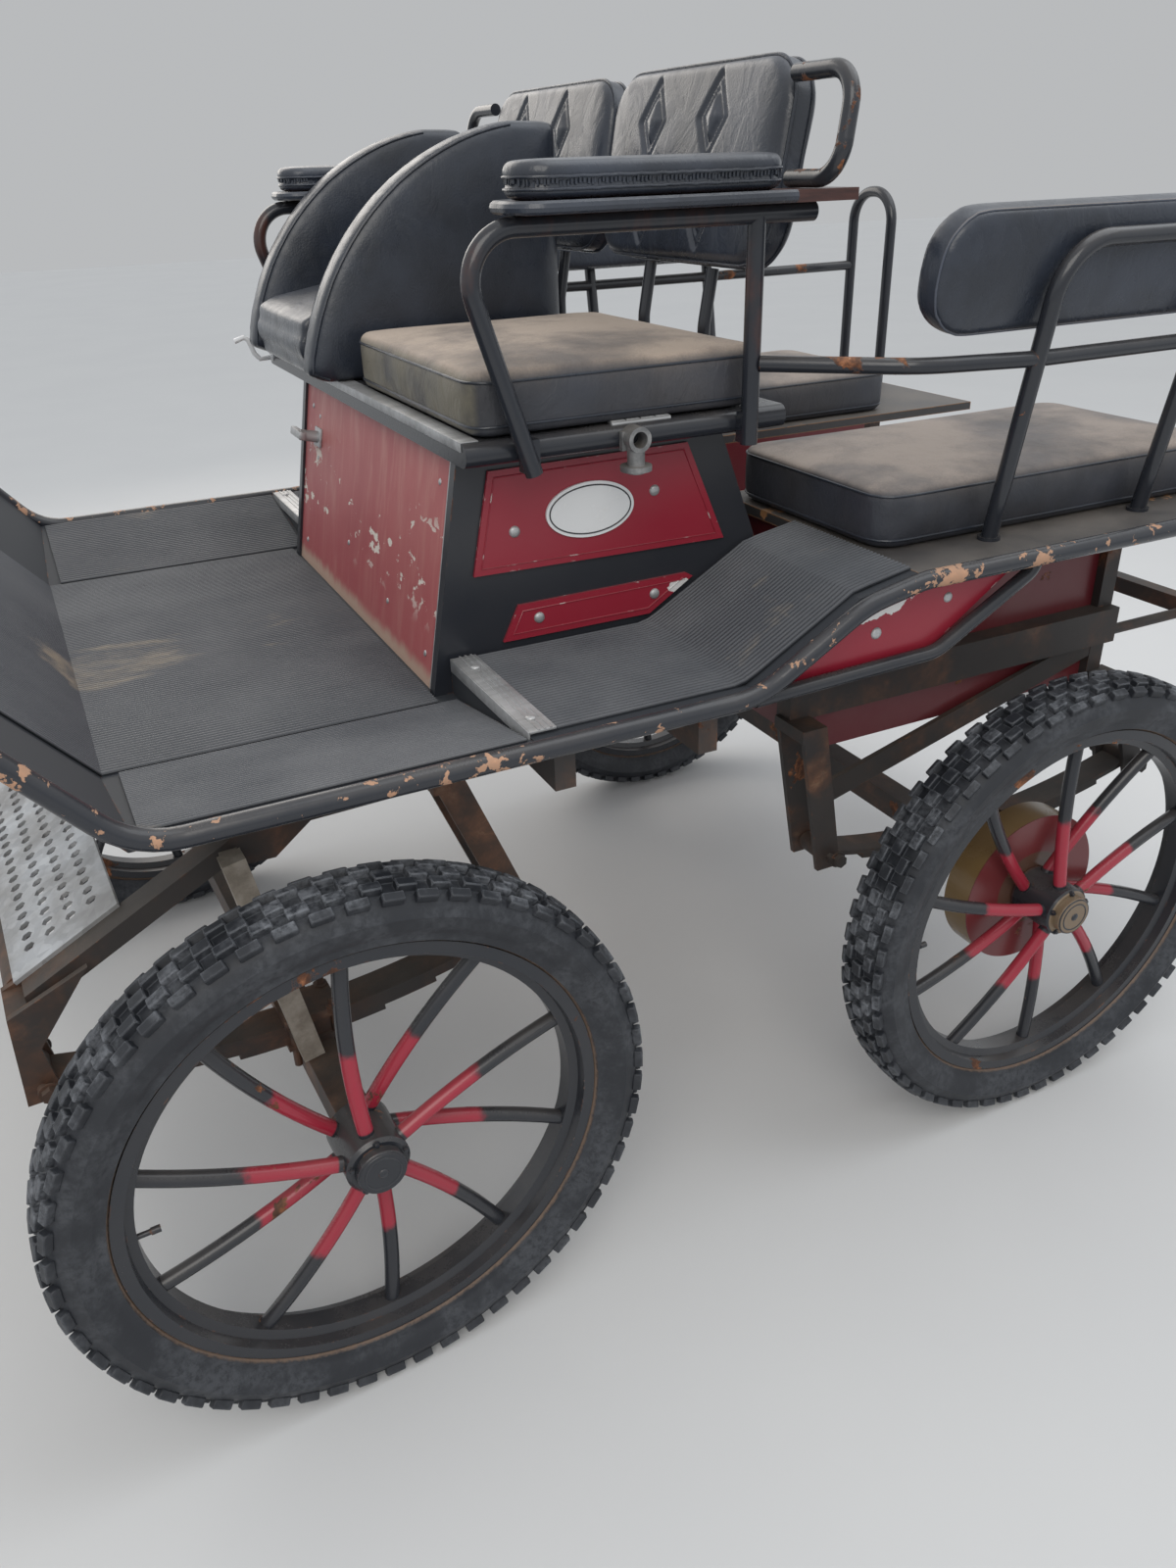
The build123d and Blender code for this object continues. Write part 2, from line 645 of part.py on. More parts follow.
# Chassis
def chassis(boss_foot):
    """Floor rails, outriggers, turntable ring with the kingpin, side rails, corner posts and tail."""
    t = RAIL_TUBE
    z0 = RAIL_TOP_Z - t
    inner, outer = RAIL_HALF - t / 2, RAIL_HALF + t / 2
    pieces = both(block(BODY_FRONT + 15, FLOOR_FRONT - 4, inner, outer, z0, RAIL_TOP_Z))
    for x in FLOOR_BEAMS:
        pieces.append(block(x - t / 2, x + t / 2, -FLOOR_HALF, FLOOR_HALF, z0, RAIL_TOP_Z))
    for x in OUTRIGGERS:
        pieces.append(block(x - t / 2, x + t / 2, -OUTRIGGER_HALF, OUTRIGGER_HALF, z0, RAIL_TOP_Z))
        pieces += both(centred(x, OUTRIGGER_HALF - t / 2, z0, RUNNING_Z - BOARD, t))
    pieces.append(turntable(RING_Z))
    nut_top = boss_foot - SEAT_GAP
    kingpin = Cylinder(KINGPIN_RADIUS, RAIL_TOP_Z - nut_top)
    pieces.append(Pos(KING_X, 0, (RAIL_TOP_Z + nut_top) / 2) * kingpin)
    pieces.append(Pos(KING_X, 0, nut_top - NUT / 2) * Cylinder(NUT_RADIUS, NUT))
    side_in = BODY_HALF + SEAT_GAP
    side_out = side_in + SIDE_RAIL_WIDTH
    side_top = SIDE_RAIL_Z + SIDE_RAIL_HEIGHT
    pieces += both(block(SIDE_RAIL_BACK, SIDE_RAIL_FRONT, side_in, side_out, SIDE_RAIL_Z, side_top))
    pieces.append(block(BODY_FRONT + 15, BODY_FRONT + 40, -side_out, side_out, side_top - 10, RAIL_TOP_Z))
    post_x = BODY_BACK - SEAT_GAP - CORNER_POST / 2
    foot = BODY_FLOOR_Z - POST_FOOT_DROP
    pieces += both(centred(post_x, BODY_HALF, foot, PLATFORM_Z - BOARD, CORNER_POST))
    pieces.append(block(TAIL_X, TAIL_X + t, -side_out, side_out, SIDE_RAIL_Z, SIDE_RAIL_Z + t))
    pieces += both(centred(TAIL_X + t / 2, side_out - t / 2, SIDE_RAIL_Z, PLATFORM_Z - BOARD, t))
    tail_z = SIDE_RAIL_Z + TAIL_TUBE_RISE
    pieces += both(bar([(TAIL_X + t / 2, side_in + TAIL_TUBE_RADIUS, tail_z),
                        (post_x, side_in + TAIL_TUBE_RADIUS, tail_z)], 0, TAIL_TUBE_RADIUS))
    plate_in = REAR_SPRING_Y - SPRING_WIDTH / 2 - HANGER_GAP - HANGER_PLATE
    pieces += both(across(BRACE, plate_in, plate_in + HANGER_PLATE))
    for side in LEFT_RIGHT:
        y = side * REAR_SPRING_Y
        pieces += hanger(SPRING_EYE_X, SIDE_RAIL_Z + 4, y, 40)
        pieces += hanger(-SPRING_EYE_X, foot + 30, y, 60)
    keep("chassis", joined(pieces))


# Foot space
def toe_point(distance, y):
    angle = math.radians(TOE_ANGLE_DEG)
    return (FLOOR_FRONT + distance * math.cos(angle), y, FLOOR_Z + distance * math.sin(angle))


FOLD = (BOARD * math.tan(math.radians(TOE_ANGLE_DEG / 2)), 0, -BOARD)
FOLD_LENGTH = math.hypot(FOLD[0], BOARD)


def footboard():
    """Floor, toe board and the four side wings, folded along one line."""
    front_low = (FLOOR_FRONT + FOLD[0], FLOOR_Z - BOARD)
    floor = across([(FLOOR_BACK, FLOOR_Z), (FLOOR_FRONT, FLOOR_Z), front_low, (FLOOR_BACK, FLOOR_Z - BOARD)],
                   -FLOOR_HALF, FLOOR_HALF)
    top = toe_point(TOE_LENGTH, FLOOR_HALF)
    toe = across([(FLOOR_FRONT, FLOOR_Z), (top[0], top[2]), (top[0] + FOLD[0], top[2] - BOARD), front_low],
                 -FLOOR_HALF, FLOOR_HALF)
    fold_in = (FLOOR_FRONT, FLOOR_HALF, FLOOR_Z)
    fold_out = (FLOOR_FRONT - WING_SETBACK, WING_HALF, RUNNING_Z)
    corner = (top[0] - WING_SETBACK, WING_HALF, top[2] + WING_RISE)
    back = RUNNING_START - 10
    wing = plate([(back, FLOOR_HALF, FLOOR_Z), fold_in, fold_out, (back, WING_HALF, RUNNING_Z)],
                 FOLD_LENGTH, FOLD)
    toe_wing = plate([fold_in, top, corner, fold_out], FOLD_LENGTH, FOLD, 2, TOE_CORNER - EDGE_TUBE_RADIUS)
    trim = block(back - 20, RUNNING_START, FLOOR_HALF, WING_HALF + 5, FLOOR_Z - 30, RUNNING_Z + 10)
    shell = joined([floor, toe] + both(wing) + both(toe_wing))
    keep("footboard", shell.cut(*both(trim)))
    return corner


def floor_mats():
    angle = math.radians(TOE_ANGLE_DEG)
    end = toe_point(TOE_LENGTH - 20, 0)
    lift = (-math.sin(angle) * MAT, math.cos(angle) * MAT)
    fold = MAT * math.tan(angle / 2)
    outline = [(BOX_FOOT + 2, FLOOR_Z), (FLOOR_FRONT, FLOOR_Z), (end[0], end[2]),
               (end[0] + lift[0], end[2] + lift[1]), (FLOOR_FRONT - fold, FLOOR_Z + MAT),
               (BOX_FOOT + 2, FLOOR_Z + MAT)]
    keep("floor_mat", across(outline, -FLOOR_HALF + MAT_MARGIN, FLOOR_HALF - MAT_MARGIN))
    slope = WING_RISE / (WING_HALF - FLOOR_HALF)
    inner, outer = MAT_MARGIN, WING_HALF - FLOOR_HALF - MAT_MARGIN
    front = FLOOR_FRONT - WING_SETBACK - MAT_MARGIN
    back = RUNNING_START + MAT_MARGIN
    corners = [(back, inner), (front, inner), (front, outer), (back, outer)]
    quad = [(x, FLOOR_HALF + d, FLOOR_Z + d * slope) for x, d in corners]
    keep("wing_mats", *both(plate(quad, MAT, (0, 0, 1))))


RUNNING_TOP = (
    # station, height of the top face
    (RUNNING_START, RUNNING_Z),
    (RUNNING_END, RUNNING_Z),
    (RAMP_TOP, RAMP_Z),
    (PLATFORM_START, PLATFORM_Z),
)


def running_boards():
    inner = BOX_HALF + SEAT_GAP
    low = [(x, z - BOARD) for x, z in reversed(RUNNING_TOP)]
    board = across(list(RUNNING_TOP) + low, inner, WING_HALF)
    wing_foot = FLOOR_HALF + SEAT_GAP
    foot = FLOOR_Z + SEAT_GAP
    corners = [(inner, foot), (wing_foot, foot), (wing_foot, RAIL_TOP_Z + SEAT_GAP),
               (WING_HALF, RUNNING_Z - BOARD), (WING_HALF, RUNNING_Z), (inner, RUNNING_Z)]
    riser = plate([(RUNNING_START, y, z) for y, z in corners], RISER, (-1, 0, 0))
    keep("running_boards", *both(joined([board, riser])))
    mat_top = [(x, z + MAT) for x, z in reversed(RUNNING_TOP)]
    mat = across(list(RUNNING_TOP) + mat_top, BOX_HALF + PLAQUE + 2, WING_HALF - 14)
    keep("running_mats", *both(mat))


def edge_rails(corner):
    """One tube round the outer edge of the platforms, ramps, wings and toe board."""
    off = EDGE_TUBE_RADIUS + SEAT_GAP
    y = WING_HALF + off
    drop = EDGE_TUBE_DROP
    angle = math.radians(TOE_ANGLE_DEG)
    over = (off * math.cos(angle), off * math.sin(angle))
    slope = WING_RISE / (WING_HALF - FLOOR_HALF)
    top = toe_point(TOE_LENGTH, FLOOR_HALF)
    left = [(PLATFORM_BACK, y, PLATFORM_Z - drop), (PLATFORM_START, y, PLATFORM_Z - drop),
            (RAMP_TOP, y, RAMP_Z - drop), (RUNNING_END, y, RUNNING_Z - drop),
            (FLOOR_FRONT - WING_SETBACK, y, RUNNING_Z - drop),
            (corner[0] + over[0], y, corner[2] + over[1] + off * slope),
            (top[0] + over[0], FLOOR_HALF, top[2] + over[1])]
    right = [(x, -yy, zz) for x, yy, zz in reversed(left)]
    bends = [150, 150, 120, 90, TOE_CORNER, 120]
    keep("edge_rails", bar(left + right, bends + bends[::-1], EDGE_TUBE_RADIUS))


# Seat box and seats
PLAQUES = (
    # corners of each crimson plaque on a side of the seat box
    ((722, 1003), (462, 1005), (407, 879), (748, 884)),
    ((694, 840), (462, 842), (452, 836), (515, 797), (716, 797)),
)


def seat_box():
    side = across([(BOX_FOOT, FLOOR_Z), (BOX_TOP, SEAT_PLATE_Z), (BOX_BACK_TOP, SEAT_PLATE_Z),
                   (BOX_BACK_FOOT, BOX_BACK_Z), (BOX_BACK_FOOT, FLOOR_Z)], BOX_HALF - BOX_WALL, BOX_HALF)
    inside = BOX_HALF - BOX_WALL
    back = across([(BOX_BACK_TOP, SEAT_PLATE_Z), (BOX_BACK_FOOT, BOX_BACK_Z), (BOX_BACK_FOOT, FLOOR_Z),
                   (BOX_BACK_FOOT + BOX_WALL, FLOOR_Z), (BOX_BACK_FOOT + BOX_WALL, BOX_BACK_Z - 3),
                   (BOX_BACK_TOP + BOX_WALL, SEAT_PLATE_Z)], -inside, inside)
    keep("seat_box", joined(both(side) + [back]))
    out, back_face = PANEL_INSET, PANEL_INSET + PANEL_WALL
    front = across([(BOX_FOOT - out, FLOOR_Z), (BOX_TOP - out, SEAT_PLATE_Z),
                    (BOX_TOP - back_face, SEAT_PLATE_Z), (BOX_FOOT - back_face, FLOOR_Z)],
                   -inside + SEAT_GAP, inside - SEAT_GAP)
    keep("front_panel", front)
    top = block(SEAT_PLATE_BACK, SEAT_PLATE_FRONT, SEAT_MID - SEAT_PLATE_HALF, SEAT_MID + SEAT_PLATE_HALF,
                SEAT_PLATE_Z, SEAT_PLATE_Z + SEAT_PLATE)
    keep("seat_plate", fillet(top.edges().filter_by(Axis.X), SEAT_PLATE_ROUND))
    plaques = [s for corners in PLAQUES for s in both(across(corners, BOX_HALF, BOX_HALF + PLAQUE))]
    keep("side_panels", *plaques)
    outline = Rot(-90, 0, 0) * Ellipse(OVAL_LENGTH / 2, OVAL_HEIGHT / 2)
    outline = Pos(OVAL_X, BOX_HALF + PLAQUE, OVAL_Z) * outline
    keep("blank_ovals", *both(extrude(outline, amount=3)))


def lamp_brackets():
    """Clamp on each side edge of the seat plate, with a socket facing outwards over a collared stem."""
    z = SEAT_PLATE_Z + SEAT_PLATE / 2
    brackets = []
    for side in LEFT_RIGHT:
        edge = SEAT_MID + side * (SEAT_PLATE_HALF + SEAT_GAP)
        y = edge + side * LAMP_SOCKET_LENGTH / 2
        y0, y1 = sorted((edge, edge + side * LAMP_CLAMP))
        clamp = block(LAMP_X - LAMP_CLAMP_HALF, LAMP_X + LAMP_CLAMP_HALF, y0, y1, z - SEAT_PLATE / 2, z + 8)
        stem = Pos(LAMP_X, y, z - LAMP_STEM / 2) * Cylinder(LAMP_STEM_RADIUS, LAMP_STEM)
        collar = Pos(LAMP_X, y, z - LAMP_STEM + LAMP_COLLAR) * Cylinder(LAMP_COLLAR_RADIUS, LAMP_COLLAR)
        bracket = joined([clamp, stem, collar, rod(LAMP_X, y, z, LAMP_SOCKET_RADIUS, LAMP_SOCKET_LENGTH)])
        brackets.append(bracket.cut(rod(LAMP_X, y, z, LAMP_BORE_RADIUS, LAMP_SOCKET_LENGTH + 10)))
    keep("lamp_brackets", *brackets)


def seat_cushions():
    cushion = block(PASSENGER_BACK, PASSENGER_FRONT, SEAT_MID + PASSENGER_INNER, SEAT_MID + PASSENGER_OUTER,
                    CUSHION_Z, CUSHION_Z + CUSHION_HEIGHT)
    keep("passenger_cushion", fillet(cushion.edges().filter_by(Axis.Z), CUSHION_CORNER))
    near = SEAT_MID - BOLSTER_NEAR
    far = SEAT_MID - BOLSTER_FAR
    outline = [(DRIVER_FRONT - DRIVER_UNDERCUT, CUSHION_Z), (DRIVER_FRONT, DRIVER_LIP_Z),
               (DRIVER_FRONT, DRIVER_TOP_FRONT), (DRIVER_BACK, DRIVER_TOP_BACK), (DRIVER_BACK, CUSHION_Z)]
    keep("driver_cushion", across(outline, far + BOLSTER + 1, near - BOLSTER - 1))
    bolsters = []
    for y0 in (near - BOLSTER, far):
        with BuildSketch(Plane.XZ.offset(-y0)) as outline:
            with BuildLine():
                back = (DRIVER_BACK, BOLSTER_TOP)
                lip = (DRIVER_FRONT + BOLSTER_LIP, DRIVER_LIP_Z)
                shoulder = (BOLSTER_SHOULDER, BOLSTER_TOP + 2)
                Polyline(back, (DRIVER_BACK, CUSHION_Z), (DRIVER_FRONT - 20, CUSHION_Z), lip)
                ThreePointArc(lip, BOLSTER_KNEE, shoulder)
                Line(shoulder, back)
            make_face()
        bolsters.append(extrude(outline.sketch, amount=-BOLSTER))
    keep("driver_bolsters", *bolsters)


def backrest(middle):
    panel = Box(BACKREST_THICK, BACKREST_WIDTH, BACKREST_HEIGHT, align=(Align.MAX, Align.CENTER, Align.MIN))
    panel = fillet(panel.edges().filter_by(Axis.X), BACKREST_CORNER)
    return Pos(BACKREST_FACE_X, middle, BACKREST_FOOT_Z) * Rot(0, -BACKREST_LEAN_DEG, 0) * panel


def backrests():
    """Two padded backrests, each on two posts, with a grip tube at the outer side."""
    lean = math.radians(BACKREST_LEAN_DEG)
    half_thick = BACKREST_THICK / 2
    entry = (BACKREST_FACE_X - half_thick * math.cos(lean), BACKREST_FOOT_Z - half_thick * math.sin(lean))
    short = (entry[0] + SEAT_GAP * math.sin(lean), entry[1] - SEAT_GAP * math.cos(lean))
    knee = (POST_X, POST_KNEE_Z)
    pieces = []
    for name, side in (("passenger_backrest", 1), ("driver_backrest", -1)):
        middle = SEAT_MID + side * (BACKREST_WIDTH + BACKREST_SPLIT) / 2
        keep(name, backrest(middle))
        for step in LEFT_RIGHT:
            y = middle + step * POST_GAUGE / 2
            foot = CUSHION_Z - SEAT_GAP
            route = [(POST_X, y, foot), (knee[0], y, knee[1]), (short[0], y, short[1])]
            pieces.append(bar(route, [POST_BEND], POST_RADIUS))
        start = middle + side * (BACKREST_WIDTH / 2 + SEAT_GAP)
        out = start + side * GRIP_REACH
        low = ARM_TOP_Z + ARM_TUBE_RADIUS + ARM_BOARD + GRIP_RADIUS + 3 * SEAT_GAP
        inner = SEAT_MID + side * (ARM_OUT - ARM_BOARD_WIDTH / 2 + 6)
        pieces.append(bar([(GRIP_X, start, GRIP_Z), (GRIP_X, out, GRIP_Z), (GRIP_X + 14, out, low),
                           (GRIP_X + 14, inner, low)], [GRIP_BEND, GRIP_BEND], GRIP_RADIUS))
    keep("backrest_frames", *pieces)


def arm_rests():
    """Bent tube and rear post on each outer edge of the seat plate, a board and a pad on top."""
    r = ARM_TUBE_RADIUS
    frames, boards, pads = [], [], []
    plate_edge = SEAT_PLATE_HALF + SEAT_GAP
    for side in LEFT_RIGHT:
        y = SEAT_MID + side * ARM_OUT
        tube = bar([(ARM_FOOT_X, y, ARM_FOOT_Z), (ARM_CORNER_X, y, ARM_TOP_Z), (ARM_TAIL_X, y, ARM_TOP_Z)],
                   [ARM_BEND], r)
        post = bar([(ARM_POST_X, y, ARM_FOOT_Z), (ARM_POST_X, y, ARM_TOP_Z)], 0, r)
        pieces = [tube, post]
        for x in (ARM_FOOT_X + 2, ARM_POST_X):
            y0, y1 = sorted((SEAT_MID + side * plate_edge, y))
            pieces.append(block(x - LUG / 2, x + LUG / 2, y0, y1, ARM_FOOT_Z + 2, SEAT_PLATE_Z + SEAT_PLATE))
        frames.append(joined(pieces))
        half = ARM_BOARD_WIDTH / 2
        board_z = ARM_TOP_Z + r + SEAT_GAP
        boards.append(block(ARM_BOARD_BACK, PAD_FRONT - 8, y - half, y + half, board_z, board_z + ARM_BOARD))
        pad_z = board_z + ARM_BOARD + SEAT_GAP
        half = PAD_WIDTH / 2
        pad = block(PAD_BACK, PAD_FRONT, y - half, y + half, pad_z, pad_z + PAD_HEIGHT)
        pads.append(fillet(pad.edges().filter_by(Axis.Z), PAD_CORNER))
    keep("arm_frames", *frames)
    keep("arm_boards", *boards)
    keep("arm_pads", *pads)


# Rear body, benches and rails
def rear_body():
    t = BODY_WALL
    top = PLATFORM_Z - BOARD
    pieces = [block(BODY_BACK, BODY_FRONT, -BODY_HALF, BODY_HALF, BODY_FLOOR_Z, BODY_FLOOR_Z + t),
              block(BODY_FRONT - t, BODY_FRONT, -BODY_HALF, BODY_HALF, BODY_FLOOR_Z, top)]
    pieces += both(block(BODY_BACK, BODY_FRONT, BODY_HALF - t, BODY_HALF, BODY_FLOOR_Z, top))
    pieces += both(block(BODY_BACK, BODY_FRONT, PLATFORM_INNER, PLATFORM_INNER + t, BODY_FLOOR_Z, top))
    pieces += both(block(BODY_BACK, BODY_BACK + t, PLATFORM_INNER, BODY_HALF, BODY_FLOOR_Z, top))
    keep("rear_body", joined(pieces))
    board = block(PLATFORM_BACK, PLATFORM_START - 1, PLATFORM_INNER, WING_HALF, top, PLATFORM_Z)
    keep("bench_platforms", *both(board))


def benches():
    low = PLATFORM_Z + SEAT_GAP
    cushion = block(BENCH_BACK, BENCH_FRONT, BENCH_INNER, BENCH_OUTER, low, low + BENCH_HEIGHT)
    cushion = fillet(cushion.edges().filter_by(Axis.Z), BENCH_CORNER)
    keep("bench_cushion_left", cushion)
    keep("bench_cushion_right", mirrored(cushion))
    lean = math.degrees(math.atan2(HOOP_TOP_Y - HOOP_FOOT_Y, HOOP_TOP_Z - PLATFORM_Z))
    panel = Box(BOARD_FRONT - BOARD_BACK, BOARD_THICK, BOARD_HEIGHT, align=(Align.MAX, Align.MAX, Align.MIN))
    panel = fillet(panel.edges().filter_by(Axis.Y), BOARD_CORNER)
    clear = (BAR_RADIUS + SEAT_GAP) / math.cos(math.radians(lean))
    panel = Pos(BOARD_FRONT, hoop_y(BOARD_FOOT_Z) - clear, BOARD_FOOT_Z) * Rot(-lean, 0, 0) * panel
    keep("bench_backrest_left", panel)
    keep("bench_backrest_right", mirrored(panel))


def hoop_y(z):
    """How far out the leaning hoop stands at a height."""
    return HOOP_FOOT_Y + (HOOP_TOP_Y - HOOP_FOOT_Y) * (z - PLATFORM_Z) / (HOOP_TOP_Z - PLATFORM_Z)


def bench_rails():
    """Hoop, long rail and rear handle in one piece on each side."""
    r = BAR_RADIUS
    foot_z = PLATFORM_Z + FLANGE / 2
    rail_y = hoop_y(RAIL_Z)
    hoop = bar([(HOOP_FRONT_X, hoop_y(foot_z), foot_z), (HOOP_FRONT_X, HOOP_TOP_Y, HOOP_TOP_Z),
                (HOOP_BACK_X, HOOP_TOP_Y, HOOP_TOP_Z), (HOOP_BACK_X, hoop_y(foot_z), foot_z)],
               [HOOP_BEND, HOOP_BEND], r)
    flanges = [Pos(x, HOOP_FOOT_Y, PLATFORM_Z + FLANGE / 2) * Cylinder(FLANGE_RADIUS, FLANGE)
               for x in (HOOP_FRONT_X, HOOP_BACK_X)]
    handle_x = PLATFORM_BACK - r - SEAT_GAP
    handle = bar([(handle_x, HANDLE_OUTER, HANDLE_FOOT_Z), (handle_x, HANDLE_OUTER, HANDLE_TOP_Z),
                  (handle_x, HANDLE_INNER, HANDLE_TOP_Z), (handle_x, HANDLE_INNER, HANDLE_FOOT_Z)],
                 [HANDLE_BEND, HANDLE_BEND], r)
    sides = []
    for side in LEFT_RIGHT:
        post = (ARM_POST_X, side * SEAT_MID + ARM_OUT, RAIL_FRONT_Z)
        bend = (RAIL_BEND_X, RAIL_BEND_Y, RAIL_FRONT_Z)
        start = towards(post, bend, ARM_TUBE_RADIUS + SEAT_GAP)
        rail = bar([start, bend, (HOOP_FRONT_X, rail_y, RAIL_Z), (HOOP_BACK_X, rail_y, RAIL_Z),
                    (handle_x, HANDLE_OUTER, RAIL_Z)], [110, 300, 300], RAIL_RADIUS)
        piece = joined([hoop, rail, handle] + flanges)
        sides.append(piece if side > 0 else mirrored(piece))
    keep("bench_rails", *sides)


def gussets():
    """Crimson panel between the ramp and a bent tube that carries it, on each side."""
    under = PLATFORM_Z - BOARD
    tube_y = GUSSET_Y + GUSSET_TUBE_RADIUS + SEAT_GAP
    start_z = RUNNING_Z - BOARD - GUSSET_TUBE_RADIUS - SEAT_GAP
    bend_z = start_z + 7
    tube = bar([(GUSSET_START, tube_y, start_z), (GUSSET_BEND_X, tube_y, bend_z),
                (GUSSET_END, tube_y, under - 18), (GUSSET_END, tube_y, under - SEAT_GAP)],
               [60, 25], GUSSET_TUBE_RADIUS)
    keep("gusset_tubes", *both(tube))
    start = GUSSET_START - 5
    outline = [(start, start_z + 2), (GUSSET_BEND_X + 2, bend_z + 2), (GUSSET_END + 14, under - 6),
               (PLATFORM_START, under - 1), (RAMP_TOP, RAMP_Z - BOARD - 2), (start, RUNNING_Z - BOARD + 7)]
    keep("gusset_panels", *both(across(outline, GUSSET_Y - GUSSET_WALL, GUSSET_Y)))


def rear_running_gear():
    inner = TRACK / 2 - HUB_LENGTH / 2 - DRUM_WALL - AXLE_CLEARANCE
    plate_out = TRACK / 2 - HUB_LENGTH / 2 - DRUM_DEPTH + BACKPLATE + 2
    shield_radius = DRUM_RADIUS - DRUM_WALL - DRUM_CLEARANCE
    shield = rod(0, plate_out - BACKPLATE / 2, WHEEL_RADIUS, shield_radius, BACKPLATE)
    keep("rear_axle", joined([axle(0, inner)] + both(shield)))
    keep("rear_springs", *both(spring(0, REAR_SPRING_Y)))


def rear_step():
    z = REAR_STEP_Z
    tread = perforated(REAR_STEP_FRONT - REAR_STEP_BACK, 2 * REAR_STEP_HALF, STEP_PLATE)
    tread = Pos((REAR_STEP_BACK + REAR_STEP_FRONT) / 2, 0, z) * tread
    inner, outer = REAR_STEP_HALF - 20, REAR_STEP_HALF - 12
    hangers = both(block(TAIL_X, TAIL_X + STEP_HANGER, inner, outer, z, SIDE_RAIL_Z))
    keep("rear_step", joined([tread] + hangers))


toe_corner = footboard()
floor_mats()
running_boards()
edge_rails(toe_corner)
seat_box()
lamp_brackets()
seat_cushions()
backrests()
arm_rests()
rear_body()
benches()
bench_rails()
gussets()
chassis(fore_frame())
fore_side_bars()
nose_bar()
fore_running_gear()
rear_running_gear()
rear_step()
wheels()

os.makedirs("parts", exist_ok=True)
for name, solids in NODES.items():
    placed = [Pos(-MID_LENGTH, 0, 0) * s for s in solids]
    export_step(Compound(children=placed) if len(placed) > 1 else placed[0], f"parts/{name}.step")
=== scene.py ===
"""Looks of a four-wheeled open carriage: finishes, padded seats, tyres, mats and fittings."""

import json
import math

import bmesh
import bpy
from bpy.props import FloatProperty, FloatVectorProperty, IntProperty, PointerProperty
from mathutils import Matrix, Vector
from mathutils.bvhtree import BVHTree


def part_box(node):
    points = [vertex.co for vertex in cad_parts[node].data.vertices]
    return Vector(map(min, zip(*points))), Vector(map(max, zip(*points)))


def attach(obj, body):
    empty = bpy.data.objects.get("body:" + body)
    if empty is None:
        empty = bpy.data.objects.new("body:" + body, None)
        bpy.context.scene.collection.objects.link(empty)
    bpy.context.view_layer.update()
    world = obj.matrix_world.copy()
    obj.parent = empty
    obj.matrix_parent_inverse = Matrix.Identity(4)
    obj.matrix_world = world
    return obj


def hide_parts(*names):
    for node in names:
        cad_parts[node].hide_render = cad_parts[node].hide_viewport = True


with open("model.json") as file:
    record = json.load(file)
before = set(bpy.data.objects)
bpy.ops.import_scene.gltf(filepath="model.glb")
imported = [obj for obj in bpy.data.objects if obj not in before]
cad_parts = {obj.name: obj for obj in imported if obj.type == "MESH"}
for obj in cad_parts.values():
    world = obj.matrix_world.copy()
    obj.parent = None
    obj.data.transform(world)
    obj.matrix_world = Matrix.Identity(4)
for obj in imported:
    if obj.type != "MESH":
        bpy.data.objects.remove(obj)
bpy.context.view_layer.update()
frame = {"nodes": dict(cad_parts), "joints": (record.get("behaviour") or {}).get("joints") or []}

bl_info = {
    "name": "Open Carriage Looks",
    "version": (1, 0, 0),
    "blender": (4, 5, 0),
    "location": "View3D > Sidebar > Carriage",
    "description": "Finishes, padded seats, tyres, mats and fittings of a four-wheeled open carriage",
    "category": "Object",
}

COAT = "coat_"

# Places. Stations are metres forward of the rear axle, then left of the middle, then above the ground.
JOINTS = {joint["name"]: joint for joint in frame["joints"]}
REAR_AXLE_X = JOINTS["wheel_rl_spin"]["pos_m"][0]
KINGPIN_X = JOINTS["steer"]["pos_m"][0]
FRONT_SPIN = Vector(JOINTS["wheel_fl_spin"]["axis"])
PARKED_TURN = math.atan2(-FRONT_SPIN.x, FRONT_SPIN.y)
WHEELS = ("fl", "fr", "rl", "rr")
UP = Vector((0, 0, 1))
LEFT = Vector((0, 1, 0))
SIDES = (1, -1)


def x_of(station):
    return REAR_AXLE_X + station


def at(station, y, z):
    """Point on the carriage from its station, in metres."""
    return Vector((x_of(station), y, z))


def on_fore(station, y, z):
    """Point on the fore carriage, which stands steered by a few degrees."""
    pivot = Vector((KINGPIN_X, 0, 0))
    return Matrix.Rotation(PARKED_TURN, 3, "Z") @ (at(station, y, z) - pivot) + pivot


def wheel_place(name):
    """Matrix whose Y axis is the wheel's axle, pointing outwards."""
    joint = JOINTS[f"wheel_{name}_spin"]
    turn = PARKED_TURN if name.startswith("f") else 0.0
    face = 0.0 if name.endswith("l") else math.pi
    return Matrix.Translation(Vector(joint["pos_m"])) @ Matrix.Rotation(turn + face, 4, "Z")


# Sizes and colours that a user would change
def length(name, default, description, **limits):
    return FloatProperty(name=name, description=description, default=default, unit="LENGTH", **limits)


def colour_of(name, default, description):
    return FloatVectorProperty(name=name, description=description, default=default, size=3, subtype="COLOR")


class CarriageSizes(bpy.types.PropertyGroup):
    """Sizes of the trim and of the soft parts."""

    rib_pitch: length("Rib Pitch", 0.0065, "Spacing of the ribs on the mats", min=0.002)
    rib_height: length("Rib Height", 0.0018, "Height of a rib on the mats")
    seam_radius: length("Seam Radius", 0.0016, "Half the width of a sewn seam")
    pressure: FloatProperty(name="Stuffing", description="Pressure that swells the padding",
                            default=4.0, min=0.0)
    knob_height: length("Knob Height", 0.008, "How far the tread knobs stand proud")
    knob_rows: IntProperty(name="Knobs Round", description="Knobs round a tyre in each row",
                           default=58, min=12)


